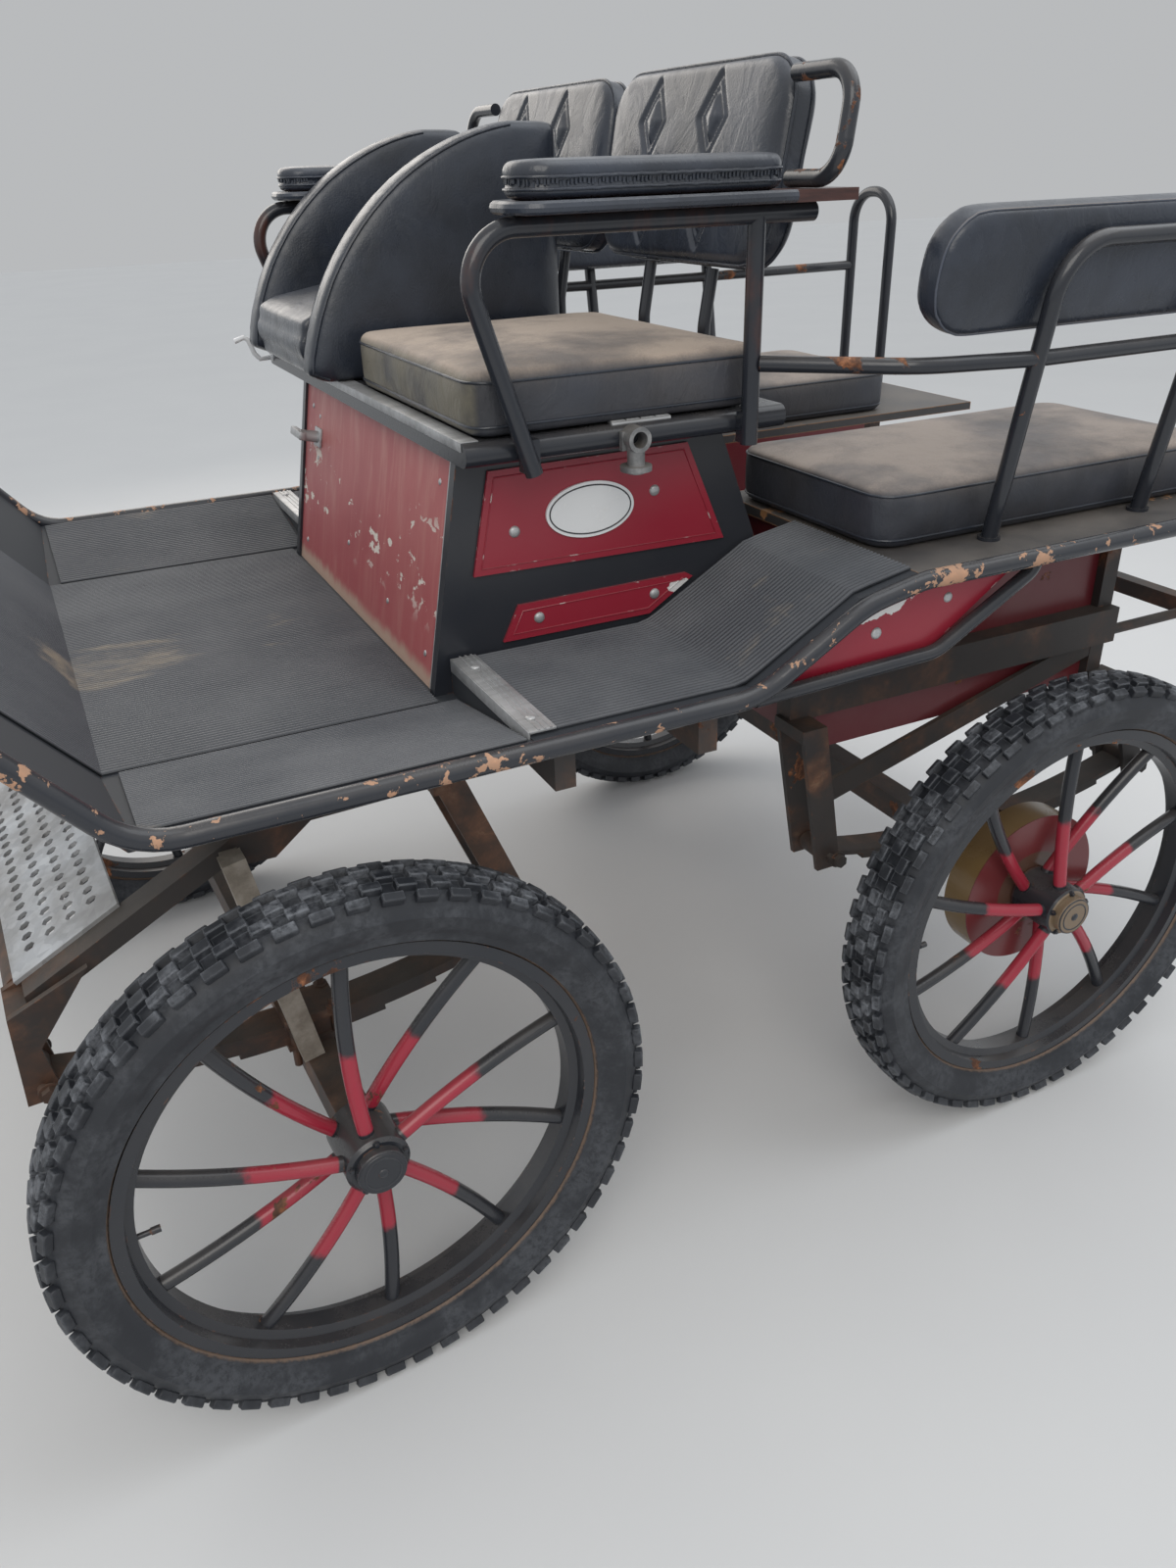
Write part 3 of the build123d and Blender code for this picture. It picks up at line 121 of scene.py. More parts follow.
class CarriageColours(bpy.types.PropertyGroup):
    """Colours of the paint, the covers and the dirt."""

    crimson: colour_of("Crimson", (0.27, 0.012, 0.030), "Gloss paint of the panels")
    faded: colour_of("Faded Crimson", (0.43, 0.115, 0.115), "Sun-bleached plywood of the front panel")
    black: colour_of("Black", (0.016, 0.019, 0.026), "Paint of the tubes and the box")
    leatherette: colour_of("Leatherette", (0.017, 0.021, 0.030), "Cover of the seats")
    rubber: colour_of("Rubber", (0.030, 0.035, 0.045), "Ribbed matting")
    dust: colour_of("Dust", (0.36, 0.31, 0.26), "Dust on what lies flat")
    bare: colour_of("Bare Metal", (0.55, 0.56, 0.57), "Aluminium strips and rivets")


def sizes():
    return bpy.context.scene.carriage_sizes


def tone(name, share=1.0):
    """A named colour with its opacity, darkened to a share."""
    colour = getattr(bpy.context.scene.carriage_colours, name)
    return (colour[0] * share, colour[1] * share, colour[2] * share, 1.0)


# Shader building blocks
class Wiring:
    """Adds nodes to a tree and joins them, at a place that its textures are laid on."""

    def __init__(self, tree, place=None):
        self.tree = tree
        self.place = place

    def put(self, kind, feeds=None, **settings):
        """Adds a node, sets its settings and feeds its sockets with values or with other nodes' outputs."""
        made = self.tree.nodes.new("ShaderNode" + kind)
        for key, value in settings.items():
            setattr(made, key, value)
        self.feed(made, feeds or {})
        return made

    def feed(self, made, feeds):
        for key, value in feeds.items():
            if isinstance(value, bpy.types.NodeSocket):
                self.tree.links.new(value, made.inputs[key])
            else:
                made.inputs[key].default_value = value

    def math(self, operation, *terms, clamp=False):
        return self.put("Math", dict(enumerate(terms)), operation=operation, use_clamp=clamp).outputs[0]

    def times(self, first, *others):
        for other in others:
            first = self.math("MULTIPLY", first, other)
        return first

    def scaled(self, value, share, shift, clamp=False):
        return self.math("MULTIPLY_ADD", value, share, shift, clamp=clamp)

    def blend(self, share, first, second):
        return self.put("Mix", {0: share, 6: first, 7: second}, data_type="RGBA").outputs[2]

    def ease(self, value, low, high):
        """A value brought from low..high to 0..1 with soft ends."""
        feeds = {"Value": value, "From Min": low, "From Max": high}
        return self.put("MapRange", feeds, interpolation_type="SMOOTHSTEP").outputs["Result"]

    def noise(self, scale, detail=4.0, roughness=0.55, distortion=0.0, place=None):
        return self.put("TexNoise", {"Vector": place or self.place, "Scale": scale, "Detail": detail,
                                     "Roughness": roughness, "Distortion": distortion}).outputs[0]

    def cloud(self, low, high, *noise):
        """Noise brought to a mask."""
        return self.ease(self.noise(*noise), low, high)

    def moved(self, place=None, **settings):
        """The place under a mapping."""
        return self.put("Mapping", {"Vector": place or self.place, **settings}).outputs[0]

    def axis(self, place, name):
        return self.put("SeparateXYZ", {0: place}).outputs[name]

    def normal(self):
        return self.put("NewGeometry").outputs["Normal"]

    def attribute(self, name):
        return self.put("Attribute", attribute_name=name).outputs["Fac"]

    def use(self, name, place=None, **feeds):
        """Outputs of a shared effect."""
        made = self.put("Group", node_tree=bpy.data.node_groups.get(name) or effect(name))
        self.feed(made, {"Vector": place or self.place, **feeds})
        return made.outputs


def effect(name):
    """Node group of a named effect, with an input for each of its values and an output for each result."""
    build, values = EFFECTS[name]
    tree = bpy.data.node_groups.new(name, "ShaderNodeTree")
    tree.interface.new_socket("Vector", in_out="INPUT", socket_type="NodeSocketVector")
    for label, value in values.items():
        tree.interface.new_socket(label, in_out="INPUT", socket_type="NodeSocketFloat").default_value = value
    given = tree.nodes.new("NodeGroupInput").outputs
    results = build(Wiring(tree, given["Vector"]), *(given[label] for label in values))
    for label in results:
        kind = "NodeSocketColor" if label == "Color" else "NodeSocketFloat"
        tree.interface.new_socket(label, in_out="OUTPUT", socket_type=kind)
    out = tree.nodes.new("NodeGroupOutput")
    for label, socket in results.items():
        tree.links.new(socket, out.inputs[label])
    return tree


def worn_patches(w, scale, amount, softness):
    """Ragged spots, in clusters, where the paint has come off."""
    spots = w.noise(scale, 8.0, 0.62, 0.3)
    region = w.noise(w.times(scale, 0.24), 2.0, 0.5)
    spots = w.scaled(region, 0.55, w.math("SUBTRACT", spots, 0.275))
    low = w.scaled(amount, -0.44, 0.74)
    return {"Mask": w.ease(spots, low, w.math("ADD", low, softness))}


def worn_edges(w, radius, scale, amount):
    """Outer edges where the finish is rubbed away."""
    rounded = w.put("Bevel", {"Radius": radius}, samples=4).outputs[0]
    likeness = w.put("VectorMath", {0: rounded, 1: w.normal()}, operation="DOT_PRODUCT").outputs["Value"]
    edge = w.ease(w.math("SUBTRACT", 1.0, likeness), 0.02, 0.12)
    low = w.scaled(amount, -0.5, 0.76)
    gate = w.ease(w.noise(scale, 6.0, 0.6), low, w.math("ADD", low, 0.08))
    return {"Mask": w.times(edge, gate)}


def settled_dust(w, scale, amount):
    """Dust on what faces up, uneven and streaked."""
    film = w.scaled(w.ease(w.axis(w.normal(), "Z"), 0.05, 0.95), 0.92, 0.08)
    shape = w.scaled(w.cloud(0.3, 0.72, scale, 5.0, 0.6), 0.75, 0.25)
    grit = w.noise(420.0, 3.0, 0.7)
    speck = w.scaled(grit, 0.8, 0.6)
    return {"Mask": w.math("MULTIPLY", w.times(film, shape, amount), speck, clamp=True), "Grit": grit}


def leather_grain(w, scale, creases):
    """Pebbled surface with drawn creases."""
    cells = w.put("TexVoronoi", {"Vector": w.place, "Scale": scale}, feature="SMOOTH_F1").outputs["Distance"]
    drawn = w.noise(26.0, 5.0, 0.6, 1.6, w.moved(Scale=(1.0, 1.0, 0.62)))
    folds = w.times(w.ease(drawn, 0.44, 0.62), creases)
    return {"Height": w.scaled(cells, -0.35, folds), "Mask": w.ease(drawn, 0.35, 0.65)}


def rust_bloom(w, scale):
    """Brown to peach scale with its height."""
    height = w.noise(scale, 8.0, 0.68, 0.4)
    made = w.put("ValToRGB", {0: height})
    stops = ((0.30, (0.022, 0.011, 0.007, 1)), (0.47, (0.085, 0.031, 0.014, 1)),
             (0.60, (0.24, 0.090, 0.036, 1)), (0.74, (0.50, 0.28, 0.16, 1)))
    elements = made.color_ramp.elements
    while len(elements) < len(stops):
        elements.new(0.5)
    for element, (position, colour) in zip(elements, stops):
        element.position = position
        element.color = colour
    return {"Color": made.outputs[0], "Height": height}


def drawn_metal(w, scale):
    """Fine lines of rolled or extruded metal."""
    lines = w.noise(scale, 6.0, 0.7, 0.0, w.moved(Scale=(0.06, 1.0, 1.0)))
    return {"Value": w.scaled(w.noise(12.0, 4.0, 0.6), 0.5, w.times(lines, 0.5))}


EFFECTS = {
    "Worn Patches": (worn_patches, {"Scale": 10.0, "Amount": 0.3, "Softness": 0.02}),
    "Worn Edges": (worn_edges, {"Radius": 0.003, "Scale": 45.0, "Amount": 0.6}),
    "Settled Dust": (settled_dust, {"Scale": 7.0, "Amount": 0.5}),
    "Leather Grain": (leather_grain, {"Scale": 420.0, "Creases": 0.4}),
    "Rust Bloom": (rust_bloom, {"Scale": 60.0}),
    "Drawn Metal": (drawn_metal, {"Scale": 60.0}),
}


# Finishes
class Coat(Wiring):
    """New material, its textures laid on Object coordinates."""

    def __init__(self, name):
        self.made = bpy.data.materials.new(COAT + name)
        self.made.use_nodes = True
        super().__init__(self.made.node_tree)
        self.place = self.put("TexCoord").outputs["Object"]

    def dusted(self, colour, amount, veil=None, **feeds):
        """The colour under settled dust, and the dust's mask."""
        mask = self.use("Settled Dust", Amount=amount, **feeds)["Mask"]
        return self.blend(mask, colour, veil or tone("dust")), mask

    def done(self, colour, rough, height=None, distance=0.0, strength=0.0, metallic=0.0):
        """The material, its shader fed and its surface bumped by a height."""
        shader = self.tree.nodes["Principled BSDF"]
        self.feed(shader, {"Base Color": colour, "Roughness": rough, "Metallic": metallic})
        if height:
            bump = self.put("Bump", {"Height": height, "Distance": distance, "Strength": strength})
            self.feed(shader, {"Normal": bump.outputs[0]})
        return self.made


def painted(coat, paint, gloss=0.32, edge=0.6, patch=0.3, patch_scale=9.0, dust=0.35, chips=None, mix=1.0,
            film=0.25):
    """Brush or powder paint that wears to rust, or to a chip colour, under dust."""
    rust = coat.use("Rust Bloom", Scale=70.0)
    rubbed = coat.use("Worn Edges", Amount=edge)["Mask"]
    spots = coat.use("Worn Patches", Scale=patch_scale, Amount=patch)["Mask"]
    worn = coat.math("MAXIMUM", rubbed, spots)
    shade = coat.cloud(0.3, 0.7, 5.0, 5.0, 0.6)
    base = coat.blend(coat.times(shade, film), paint(coat) if callable(paint) else paint, tone("dust", 0.55))
    under = coat.blend(mix, rust["Color"], chips) if chips else rust["Color"]
    colour, dirt = coat.dusted(coat.blend(worn, base, under), dust)
    rough = coat.scaled(dirt, 0.5, coat.scaled(worn, 0.85 - gloss, gloss), clamp=True)
    flake = coat.times(worn, rust["Height"])
    return coat.done(colour, rough, coat.scaled(coat.noise(160.0, 2.0, 0.5), 0.12, flake), 0.0012, 0.5)


def plain(name, share=1.0):
    """Paint of one tone."""
    return lambda coat: tone(name, share)


def sheen_brown(coat):
    """Black rubbed to brown."""
    rub = coat.ease(coat.noise(16.0, 5.0, 0.6, 0.0, coat.moved(Scale=(1, 1, 0.4))), 0.50, 0.72)
    return coat.blend(rub, tone("black"), (0.070, 0.028, 0.022, 1))


def scaly_brown(coat):
    """Near black with brown scale."""
    scale = coat.use("Rust Bloom", Scale=22.0)["Color"]
    scale = coat.blend(0.6, scale, (0.045, 0.027, 0.019, 1))
    return coat.blend(coat.cloud(0.44, 0.66, 6.0, 6.0, 0.65), (0.022, 0.019, 0.019, 1), scale)


def scraped_crimson(coat):
    """Crimson with the two long white scrapes of the left side, long along lines that lean by an angle."""
    colour = tone("crimson")
    for centre, lean, reach in ((at(0.322, 0.560, 0.837), -14, (0.048, 0.014)),
                                (at(0.469, 0.342, 0.826), -2, (0.022, 0.009))):
        turned = coat.moved(coat.moved(Location=-centre), Rotation=(0, math.radians(lean), 0))
        flat = coat.moved(turned, Scale=(1 / reach[0], 10.0, 1 / reach[1]))
        distance = coat.put("VectorMath", {0: flat}, operation="LENGTH").outputs["Value"]
        ragged = coat.scaled(coat.noise(55.0, 5.0, 0.6), 1.7, distance)
        colour = coat.blend(coat.ease(ragged, 1.75, 1.68), colour, (0.66, 0.65, 0.64, 1))
    return colour


PAINTS = {
    "black_steel": dict(paint=plain("black"), gloss=0.22, edge=0.30, patch=0.0, patch_scale=11.0, dust=0.14,
                        film=0.03),
    # flaked to peach rust along its length
    "chipped_tube": dict(paint=plain("black", 1.1), gloss=0.22, edge=0.4, patch=0.31, patch_scale=60.0,
                         dust=0.12, film=0.03, chips=(0.58, 0.35, 0.23, 1), mix=0.62),
    "brown_arm": dict(paint=sheen_brown, gloss=0.20, edge=0.3, patch=0.05, patch_scale=14.0, dust=0.10,
                      film=0.02),
    # a few orange rust blooms
    "rail_steel": dict(paint=plain("black"), gloss=0.20, edge=0.4, patch=0.26, dust=0.14, film=0.03),
    "rusty_chassis": dict(paint=scaly_brown, gloss=0.6, edge=0.4, patch=0.18, patch_scale=14.0, dust=0.20,
                          film=0.06),
    "crimson_panel": dict(paint=scraped_crimson, gloss=0.26, edge=0.35, patch=0.12, patch_scale=6.0,
                          dust=0.12, chips=(0.62, 0.60, 0.57, 1), film=0.05),
    "dark_red_body": dict(paint=plain("crimson", 0.42), gloss=0.30, edge=0.4, patch=0.14, dust=0.20,
                          film=0.12),
    "black_box": dict(paint=plain("black"), gloss=0.28, edge=0.4, patch=0.08, patch_scale=7.0, dust=0.15,
                      film=0.04),
    # dull dark floor sheet that shows round the mats
    "deck_plate": dict(paint=(0.022, 0.025, 0.031, 1), gloss=0.72, edge=0.5, patch=0.06, patch_scale=13.0,
                       dust=0.0, film=0.0),
    # more dust, with yellow-orange rust where the edge is worn
    "platform_plate": dict(paint=(0.030, 0.030, 0.033, 1), gloss=0.45, edge=0.9, patch=0.22,
                           patch_scale=16.0, dust=0.30, film=0.10, chips=(0.52, 0.26, 0.10, 1), mix=0.5),
}


def faded_plywood(coat):
    """Bleached crimson plywood with long grain, white chips and a dusty foot."""
    grain = coat.noise(34.0, 7.0, 0.62, 0.6, coat.moved(Scale=(1.0, 1.0, 0.10)))
    colour = coat.blend(coat.cloud(0.36, 0.66, 4.2, 4.0, 0.55), tone("faded"), (0.36, 0.070, 0.078, 1))
    colour = coat.blend(coat.times(coat.ease(grain, 0.45, 0.75), 0.35), colour, (0.62, 0.36, 0.30, 1))
    height = coat.axis(coat.place, "Z")
    colour = coat.blend(coat.times(coat.ease(height, 0.98, 0.80), 0.45), colour, (0.30, 0.030, 0.048, 1))
    flecks = coat.use("Worn Patches", coat.moved(Scale=(1, 0.9, 1.6)), Scale=26.0, Amount=0.30)["Mask"]
    chips = coat.times(flecks, coat.times(coat.ease(height, 0.80, 0.85), coat.ease(height, 0.97, 0.91)))
    colour = coat.blend(chips, colour, (0.68, 0.62, 0.56, 1))
    foot = coat.ease(coat.scaled(grain, 0.03, height), 0.786, 0.766)
    colour = coat.blend(coat.times(foot, 0.7), colour, (0.50, 0.42, 0.32, 1))
    colour, _ = coat.dusted(colour, 0.5)
    return coat.done(colour, coat.scaled(chips, 0.3, 0.48), coat.scaled(chips, -0.6, grain), 0.0008, 0.5)


def leatherette(coat, dust, cover=1.0, gloss=0.34, creases=0.4, veil=(0.30, 0.27, 0.24, 1), front=None):
    """Grained black cover under dust, with a second tone of it on the side that faces forward."""
    grain = coat.use("Leather Grain", Creases=creases)
    shade = coat.cloud(0.3, 0.7, 9.0, 4.0, 0.55)
    colour = coat.blend(shade, tone("leatherette", 0.75 * cover), tone("leatherette", 1.5 * cover))
    if front:
        ahead = coat.ease(coat.axis(coat.normal(), "X"), 0.55, 0.95)
        colour = coat.blend(coat.times(ahead, coat.cloud(0.25, 0.60, 11.0, 5.0, 0.6), 0.8), colour, front)
    colour, dirt = coat.dusted(colour, dust, veil, Scale=5.0)
    rough = coat.scaled(dirt, 0.45, coat.scaled(grain["Mask"], 0.10, gloss), clamp=True)
    return coat.done(colour, rough, grain["Height"], 0.0007, 0.55)


COVERS = {
    "clean_leatherette": dict(dust=0.07, gloss=0.27, creases=0.25),
    # backrests and arm pads, greyed where they are touched
    "worn_leatherette": dict(dust=0.28, cover=1.25, gloss=0.23, creases=0.5, veil=(0.23, 0.225, 0.23, 1)),
    # beige on top and black down the sides
    "dusty_leatherette": dict(dust=1.35, gloss=0.40, creases=1.0, veil=(0.40, 0.325, 0.265, 1),
                              front=(0.165, 0.150, 0.105, 1)),
    "bench_leatherette": dict(dust=1.15, gloss=0.42, creases=0.6, veil=(0.32, 0.27, 0.235, 1)),
    # edge welts rubbed to a light grey brown
    "worn_piping": dict(dust=0.9, cover=2.5, gloss=0.45, creases=0.2, veil=(0.36, 0.31, 0.26, 1)),
}


def rib_rubber(coat):
    """Ribbed matting, grey-blue dust on the ribs and painted shade that darkens the grooves between them."""
    dirt = coat.use("Settled Dust", Amount=0.46, Scale=4.5)
    scuff = coat.use("Worn Patches", coat.moved(Scale=(0.5, 1, 1)), Scale=7.0, Amount=0.30,
                     Softness=0.12)["Mask"]
    colour = coat.blend(coat.times(scuff, 0.5), tone("rubber"), (0.42, 0.32, 0.20, 1))
    colour = coat.blend(dirt["Mask"], colour, (0.235, 0.235, 0.24, 1))
    # painted shade: the grooves between the ribs are darkened towards near black, darker than the rubber
    # itself
    groove = coat.ease(coat.attribute("rib"), 0.55, 0.15)
    colour = coat.blend(coat.times(groove, 0.62), colour, (0.014, 0.015, 0.018, 1))
    return coat.done(colour, coat.scaled(dirt["Mask"], 0.3, 0.5, clamp=True), dirt["Grit"], 0.0004, 0.4)


def tyre_rubber(coat):
    """Weathered tyre, pale mud on the knobs' edges and low on the side wall."""
    reach = coat.attribute("reach")
    grit = coat.noise(130.0, 5.0, 0.7)
    tread = coat.ease(reach, 0.80, 0.97)
    mud = coat.times(coat.cloud(0.40, 0.62, 14.0, 6.0, 0.65), coat.scaled(tread, 0.60, 0.20))
    mud = coat.times(mud, coat.ease(grit, 0.30, 0.62))
    bead = coat.ease(coat.scaled(grit, 0.05, reach), 0.075, 0.045)
    colour = coat.blend(mud, (0.014, 0.016, 0.021, 1), (0.185, 0.195, 0.215, 1))
    edges = coat.use("Worn Edges", Radius=0.0024, Scale=30.0, Amount=0.85)["Mask"]
    colour = coat.blend(coat.times(edges, tread, 0.55), colour, (0.235, 0.25, 0.275, 1))
    colour = coat.blend(coat.times(bead, 0.7), colour, (0.24, 0.16, 0.11, 1))
    return coat.done(colour, coat.scaled(mud, 0.3, 0.58), grit, 0.0006, 0.5)


def wheel_paint(name):
    """Black rim and hub cap, spokes crimson inside and black outside, and the drums of the rear wheels."""
    centre = wheel_place(name).translation

    def paint(coat):
        axes = coat.put("SeparateXYZ", {0: coat.moved(Location=-centre)}).outputs
        squares = [coat.times(axes[key], axes[key]) for key in ("X", "Z")]
        radius = coat.math("SQRT", coat.math("ADD", *squares))
        edge = coat.math("ADD", radius, coat.scaled(coat.noise(26.0, 5.0, 0.6), 0.05, -0.025))
        black_out = coat.math("MAXIMUM", coat.ease(edge, 0.136, 0.150), coat.ease(radius, 0.043, 0.040))
        colour = coat.blend(black_out, tone("crimson", 1.15), tone("black", 0.9))
        if name.startswith("f"):
            return colour
        depth = coat.math("ABSOLUTE", axes["Y"])
        hub_face = coat.times(coat.ease(depth, 0.036, 0.037), coat.ease(radius, 0.062, 0.058))
        colour = coat.blend(hub_face, colour, (0.17, 0.12, 0.075, 1))
        inward = coat.times(axes["Y"], -centre.y / abs(centre.y))
        dull = coat.times(coat.ease(inward, 0.030, 0.033), 0.72)
        colour = coat.blend(dull, colour, (0.075, 0.026, 0.022, 1))
        return coat.blend(coat.ease(inward, 0.0375, 0.0395), colour, (0.19, 0.115, 0.038, 1))

    return painted(Coat("wheel_paint_" + name), paint, gloss=0.24, edge=0.35, patch=0.20, patch_scale=15.0,
                   dust=0.14, film=0.04)


def galvanized(coat):
    """Dull zinc sheet with spangle and grey stains."""
    cells = coat.put("TexVoronoi", {"Vector": coat.place, "Scale": 85.0}).outputs["Color"]
    value = coat.put("SeparateColor", {0: cells}).outputs[0]
    stain = coat.cloud(0.36, 0.68, 10.0, 6.0, 0.62)
    colour = coat.blend(value, (0.46, 0.47, 0.485, 1), (0.60, 0.61, 0.62, 1))
    colour = coat.blend(coat.times(stain, 0.55), colour, (0.30, 0.28, 0.26, 1))
    return coat.done(colour, coat.scaled(stain, 0.2, 0.42), stain, 0.0004, 0.3, 0.75)


def bright_metal(coat):
    """Aluminium strip and rivets, scratched and dull."""
    lines = coat.use("Drawn Metal", Scale=90.0)["Value"]
    colour = coat.blend(coat.ease(lines, 0.35, 0.65), tone("bare", 0.55), tone("bare", 0.95))
    colour, _ = coat.dusted(colour, 0.30)
    return coat.done(colour, coat.scaled(lines, 0.25, 0.28), lines, 0.0003, 0.4, 0.45)


def grey_casting(coat):
    """Cast lamp brackets with grime."""
    grime = coat.noise(60.0, 6.0, 0.65)
    colour = coat.blend(coat.ease(grime, 0.35, 0.65), (0.15, 0.155, 0.16, 1), (0.29, 0.29, 0.29, 1))
    colour, _ = coat.dusted(colour, 0.5)
    return coat.done(colour, 0.5, grime, 0.0005, 0.5, 0.6)


def pale_post(coat):
    """Weathered grey-brown square tube."""
    grime = coat.noise(30.0, 6.0, 0.65)
    colour = coat.blend(coat.ease(grime, 0.35, 0.65), (0.22, 0.19, 0.155, 1), (0.36, 0.32, 0.27, 1))
    return coat.done(colour, 0.62, grime, 0.0006, 0.5, 0.2)


def white_enamel(coat):
    """Smooth white plate with a faint grime."""
    grime = coat.cloud(0.5, 0.8, 40.0, 5.0, 0.6)
    colour = coat.blend(coat.times(grime, 0.25), (0.70, 0.71, 0.72, 1), (0.42, 0.40, 0.36, 1))
    return coat.done(colour, coat.scaled(grime, 0.2, 0.25), grime, 0.0002, 0.2)


def varnished_board(coat):
    """Dark red-brown board under the arm pads."""
    grain = coat.noise(90.0, 6.0, 0.62, 0.8, coat.moved(Scale=(0.12, 1.0, 1.0)))
    colour = coat.blend(coat.ease(grain, 0.35, 0.65), (0.026, 0.010, 0.009, 1), (0.070, 0.026, 0.021, 1))
    colour, _ = coat.dusted(colour, 0.2, (0.22, 0.15, 0.13, 1))
    return coat.done(colour, coat.scaled(grain, 0.2, 0.35), grain, 0.0004, 0.4)


OTHERS = {maker.__name__: maker for maker in (faded_plywood, rib_rubber, tyre_rubber, galvanized,
                                              bright_metal, grey_casting, pale_post, white_enamel,
                                              varnished_board)}


def finish(name):
    """The named finish, made the first time that it is asked for."""
    made = bpy.data.materials.get(COAT + name)
    if made:
        return made
    if name in PAINTS:
        return painted(Coat(name), **PAINTS[name])
    if name in COVERS:
        return leatherette(Coat(name), **COVERS[name])
    return OTHERS[name](Coat(name))


# Mesh building blocks
def add(name, data):
    """New object of the scene."""
    made = bpy.data.objects.new(name, data)
    bpy.context.scene.collection.objects.link(made)
    return made


def baked(bm, name):
    """Mesh of a bmesh, which is freed."""
    mesh = bpy.data.meshes.new(name)
    bm.to_mesh(mesh)
    bm.free()
    return mesh


def show(name, shape, material, body="carriage", replaces=(), sharp=35.0):
    """Turns a mesh or a bmesh into a shaded piece that rides on a body."""
    mesh = shape if isinstance(shape, bpy.types.Mesh) else baked(shape, name)
    mesh.materials.clear()
    mesh.materials.append(finish(material))
    mesh.shade_smooth()
    mesh.set_sharp_from_angle(angle=math.radians(sharp))
    piece = add(name, mesh)
    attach(piece, body)
    if replaces:
        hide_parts(*replaces)
    return piece


def bevel(bm, edges, offset, segments, clamp=True):
    bmesh.ops.bevel(bm, geom=list(edges), offset=offset, segments=segments, profile=0.5, affect="EDGES",
                    material=-1, clamp_overlap=clamp)


def block(bm, low, high, rounding=0.0, segments=2, turn=None):
    """Box between two corners with rounded edges, turned about the origin if asked."""
    low, high = Vector(low), Vector(high)
    place = Matrix.Translation((low + high) / 2) @ Matrix.Diagonal((*(high - low), 1.0))
    made = bmesh.ops.create_cube(bm, size=1, matrix=(turn @ place) if turn else place)
    if rounding:
        bevel(bm, {edge for vert in made["verts"] for edge in vert.link_edges}, rounding, segments)


def upright(point, axis):
    """Matrix that stands things on a surface: its Z axis is the surface's outward direction."""
    turn = UP.rotation_difference(Vector(axis).normalized()).to_matrix().to_4x4()
    return Matrix.Translation(point) @ turn


def disc(bm, point, axis, radius, height, sides=20, taper=1.0):
    place = upright(point, axis) @ Matrix.Translation((0, 0, height / 2))
    bmesh.ops.create_cone(bm, cap_ends=True, cap_tris=False, segments=sides, radius1=radius,
                          radius2=radius * taper, depth=height, matrix=place)


def bolt(bm, point, axis, radius, head):
    """Hexagon head on a washer."""
    washer = 0.0016
    disc(bm, point, axis, radius * 1.55, washer, 20, 0.97)
    disc(bm, Vector(point) + Vector(axis).normalized() * washer, axis, radius, head, 6, 0.96)


def rivet(bm, point, axis, radius, height=0.5):
    """Domed head."""
    place = upright(point, axis) @ Matrix.Diagonal((1, 1, height, 1))
    bmesh.ops.create_uvsphere(bm, u_segments=16, v_segments=8, radius=radius, matrix=place)


def tube(bm, points, radius, closed=False, sides=3):
    """Round bar or cord along points, through a curve's bevel."""
    curve = bpy.data.curves.new("route", "CURVE")
    curve.dimensions = "3D"
    curve.bevel_depth = radius
    curve.bevel_resolution = sides
    curve.use_fill_caps = True
    spline = curve.splines.new("POLY")
    spline.points.add(len(points) - 1)
    for control, point in zip(spline.points, points):
        control.co = (*point, 1.0)
    spline.use_cyclic_u = closed
    carrier = bpy.data.objects.new("route", curve)
    mesh = bpy.data.meshes.new_from_object(carrier)
    bm.from_mesh(mesh)
    bpy.data.objects.remove(carrier)
    bpy.data.curves.remove(curve)
    bpy.data.meshes.remove(mesh)


def arc(centre, radius, first, last, steps):
    """Points of an arc in a plane, with angles in degrees."""
    start, turn = math.radians(first), math.radians(last - first) / steps
    angles = [start + turn * i for i in range(steps + 1)]
    return [(centre[0] + radius * math.cos(a), centre[1] + radius * math.sin(a)) for a in angles]


def arc_through(a, b, c, steps):
    """Points of the arc from a to c by way of b, in a plane."""
    a, b, c = (Vector(p) for p in (a, b, c))
    d = 2 * (a.x * (b.y - c.y) + b.x * (c.y - a.y) + c.x * (a.y - b.y))
    squares = [p.length_squared for p in (a, b, c)]
    x = (squares[0] * (b.y - c.y) + squares[1] * (c.y - a.y) + squares[2] * (a.y - b.y)) / d
    y = (squares[0] * (c.x - b.x) + squares[1] * (a.x - c.x) + squares[2] * (b.x - a.x)) / d
    first, last = (math.degrees(math.atan2(p.y - y, p.x - x)) for p in (a, c))
    return arc((x, y), (a - Vector((x, y))).length, first, last, steps)


def new_verts(made):
    """Vertices among the geometry that an operator made."""
    return [part for part in made["geom"] if isinstance(part, bmesh.types.BMVert)]


def prism(outline, y0, y1):
    """New bmesh of an outline in X and Z carried across from y0 to y1."""
    bm = bmesh.new()
    face = bm.faces.new([bm.verts.new((x, y0, z)) for x, z in outline])
    moved = new_verts(bmesh.ops.extrude_face_region(bm, geom=[face]))
    bmesh.ops.translate(bm, verts=moved, vec=(0, y1 - y0, 0))
    bmesh.ops.recalc_face_normals(bm, faces=bm.faces)
    return bm


def along(edge, axis):
    """Whether an edge runs along an axis."""
    run = edge.verts[1].co - edge.verts[0].co
    return abs(run.normalized()[axis]) > 0.99


# Soft parts
def settle(piece):
    """Applies a piece's modifiers to its mesh."""
    graph = bpy.context.evaluated_depsgraph_get()
    mesh = bpy.data.meshes.new_from_object(piece.evaluated_get(graph))
    piece.modifiers.clear()
    piece.data = mesh


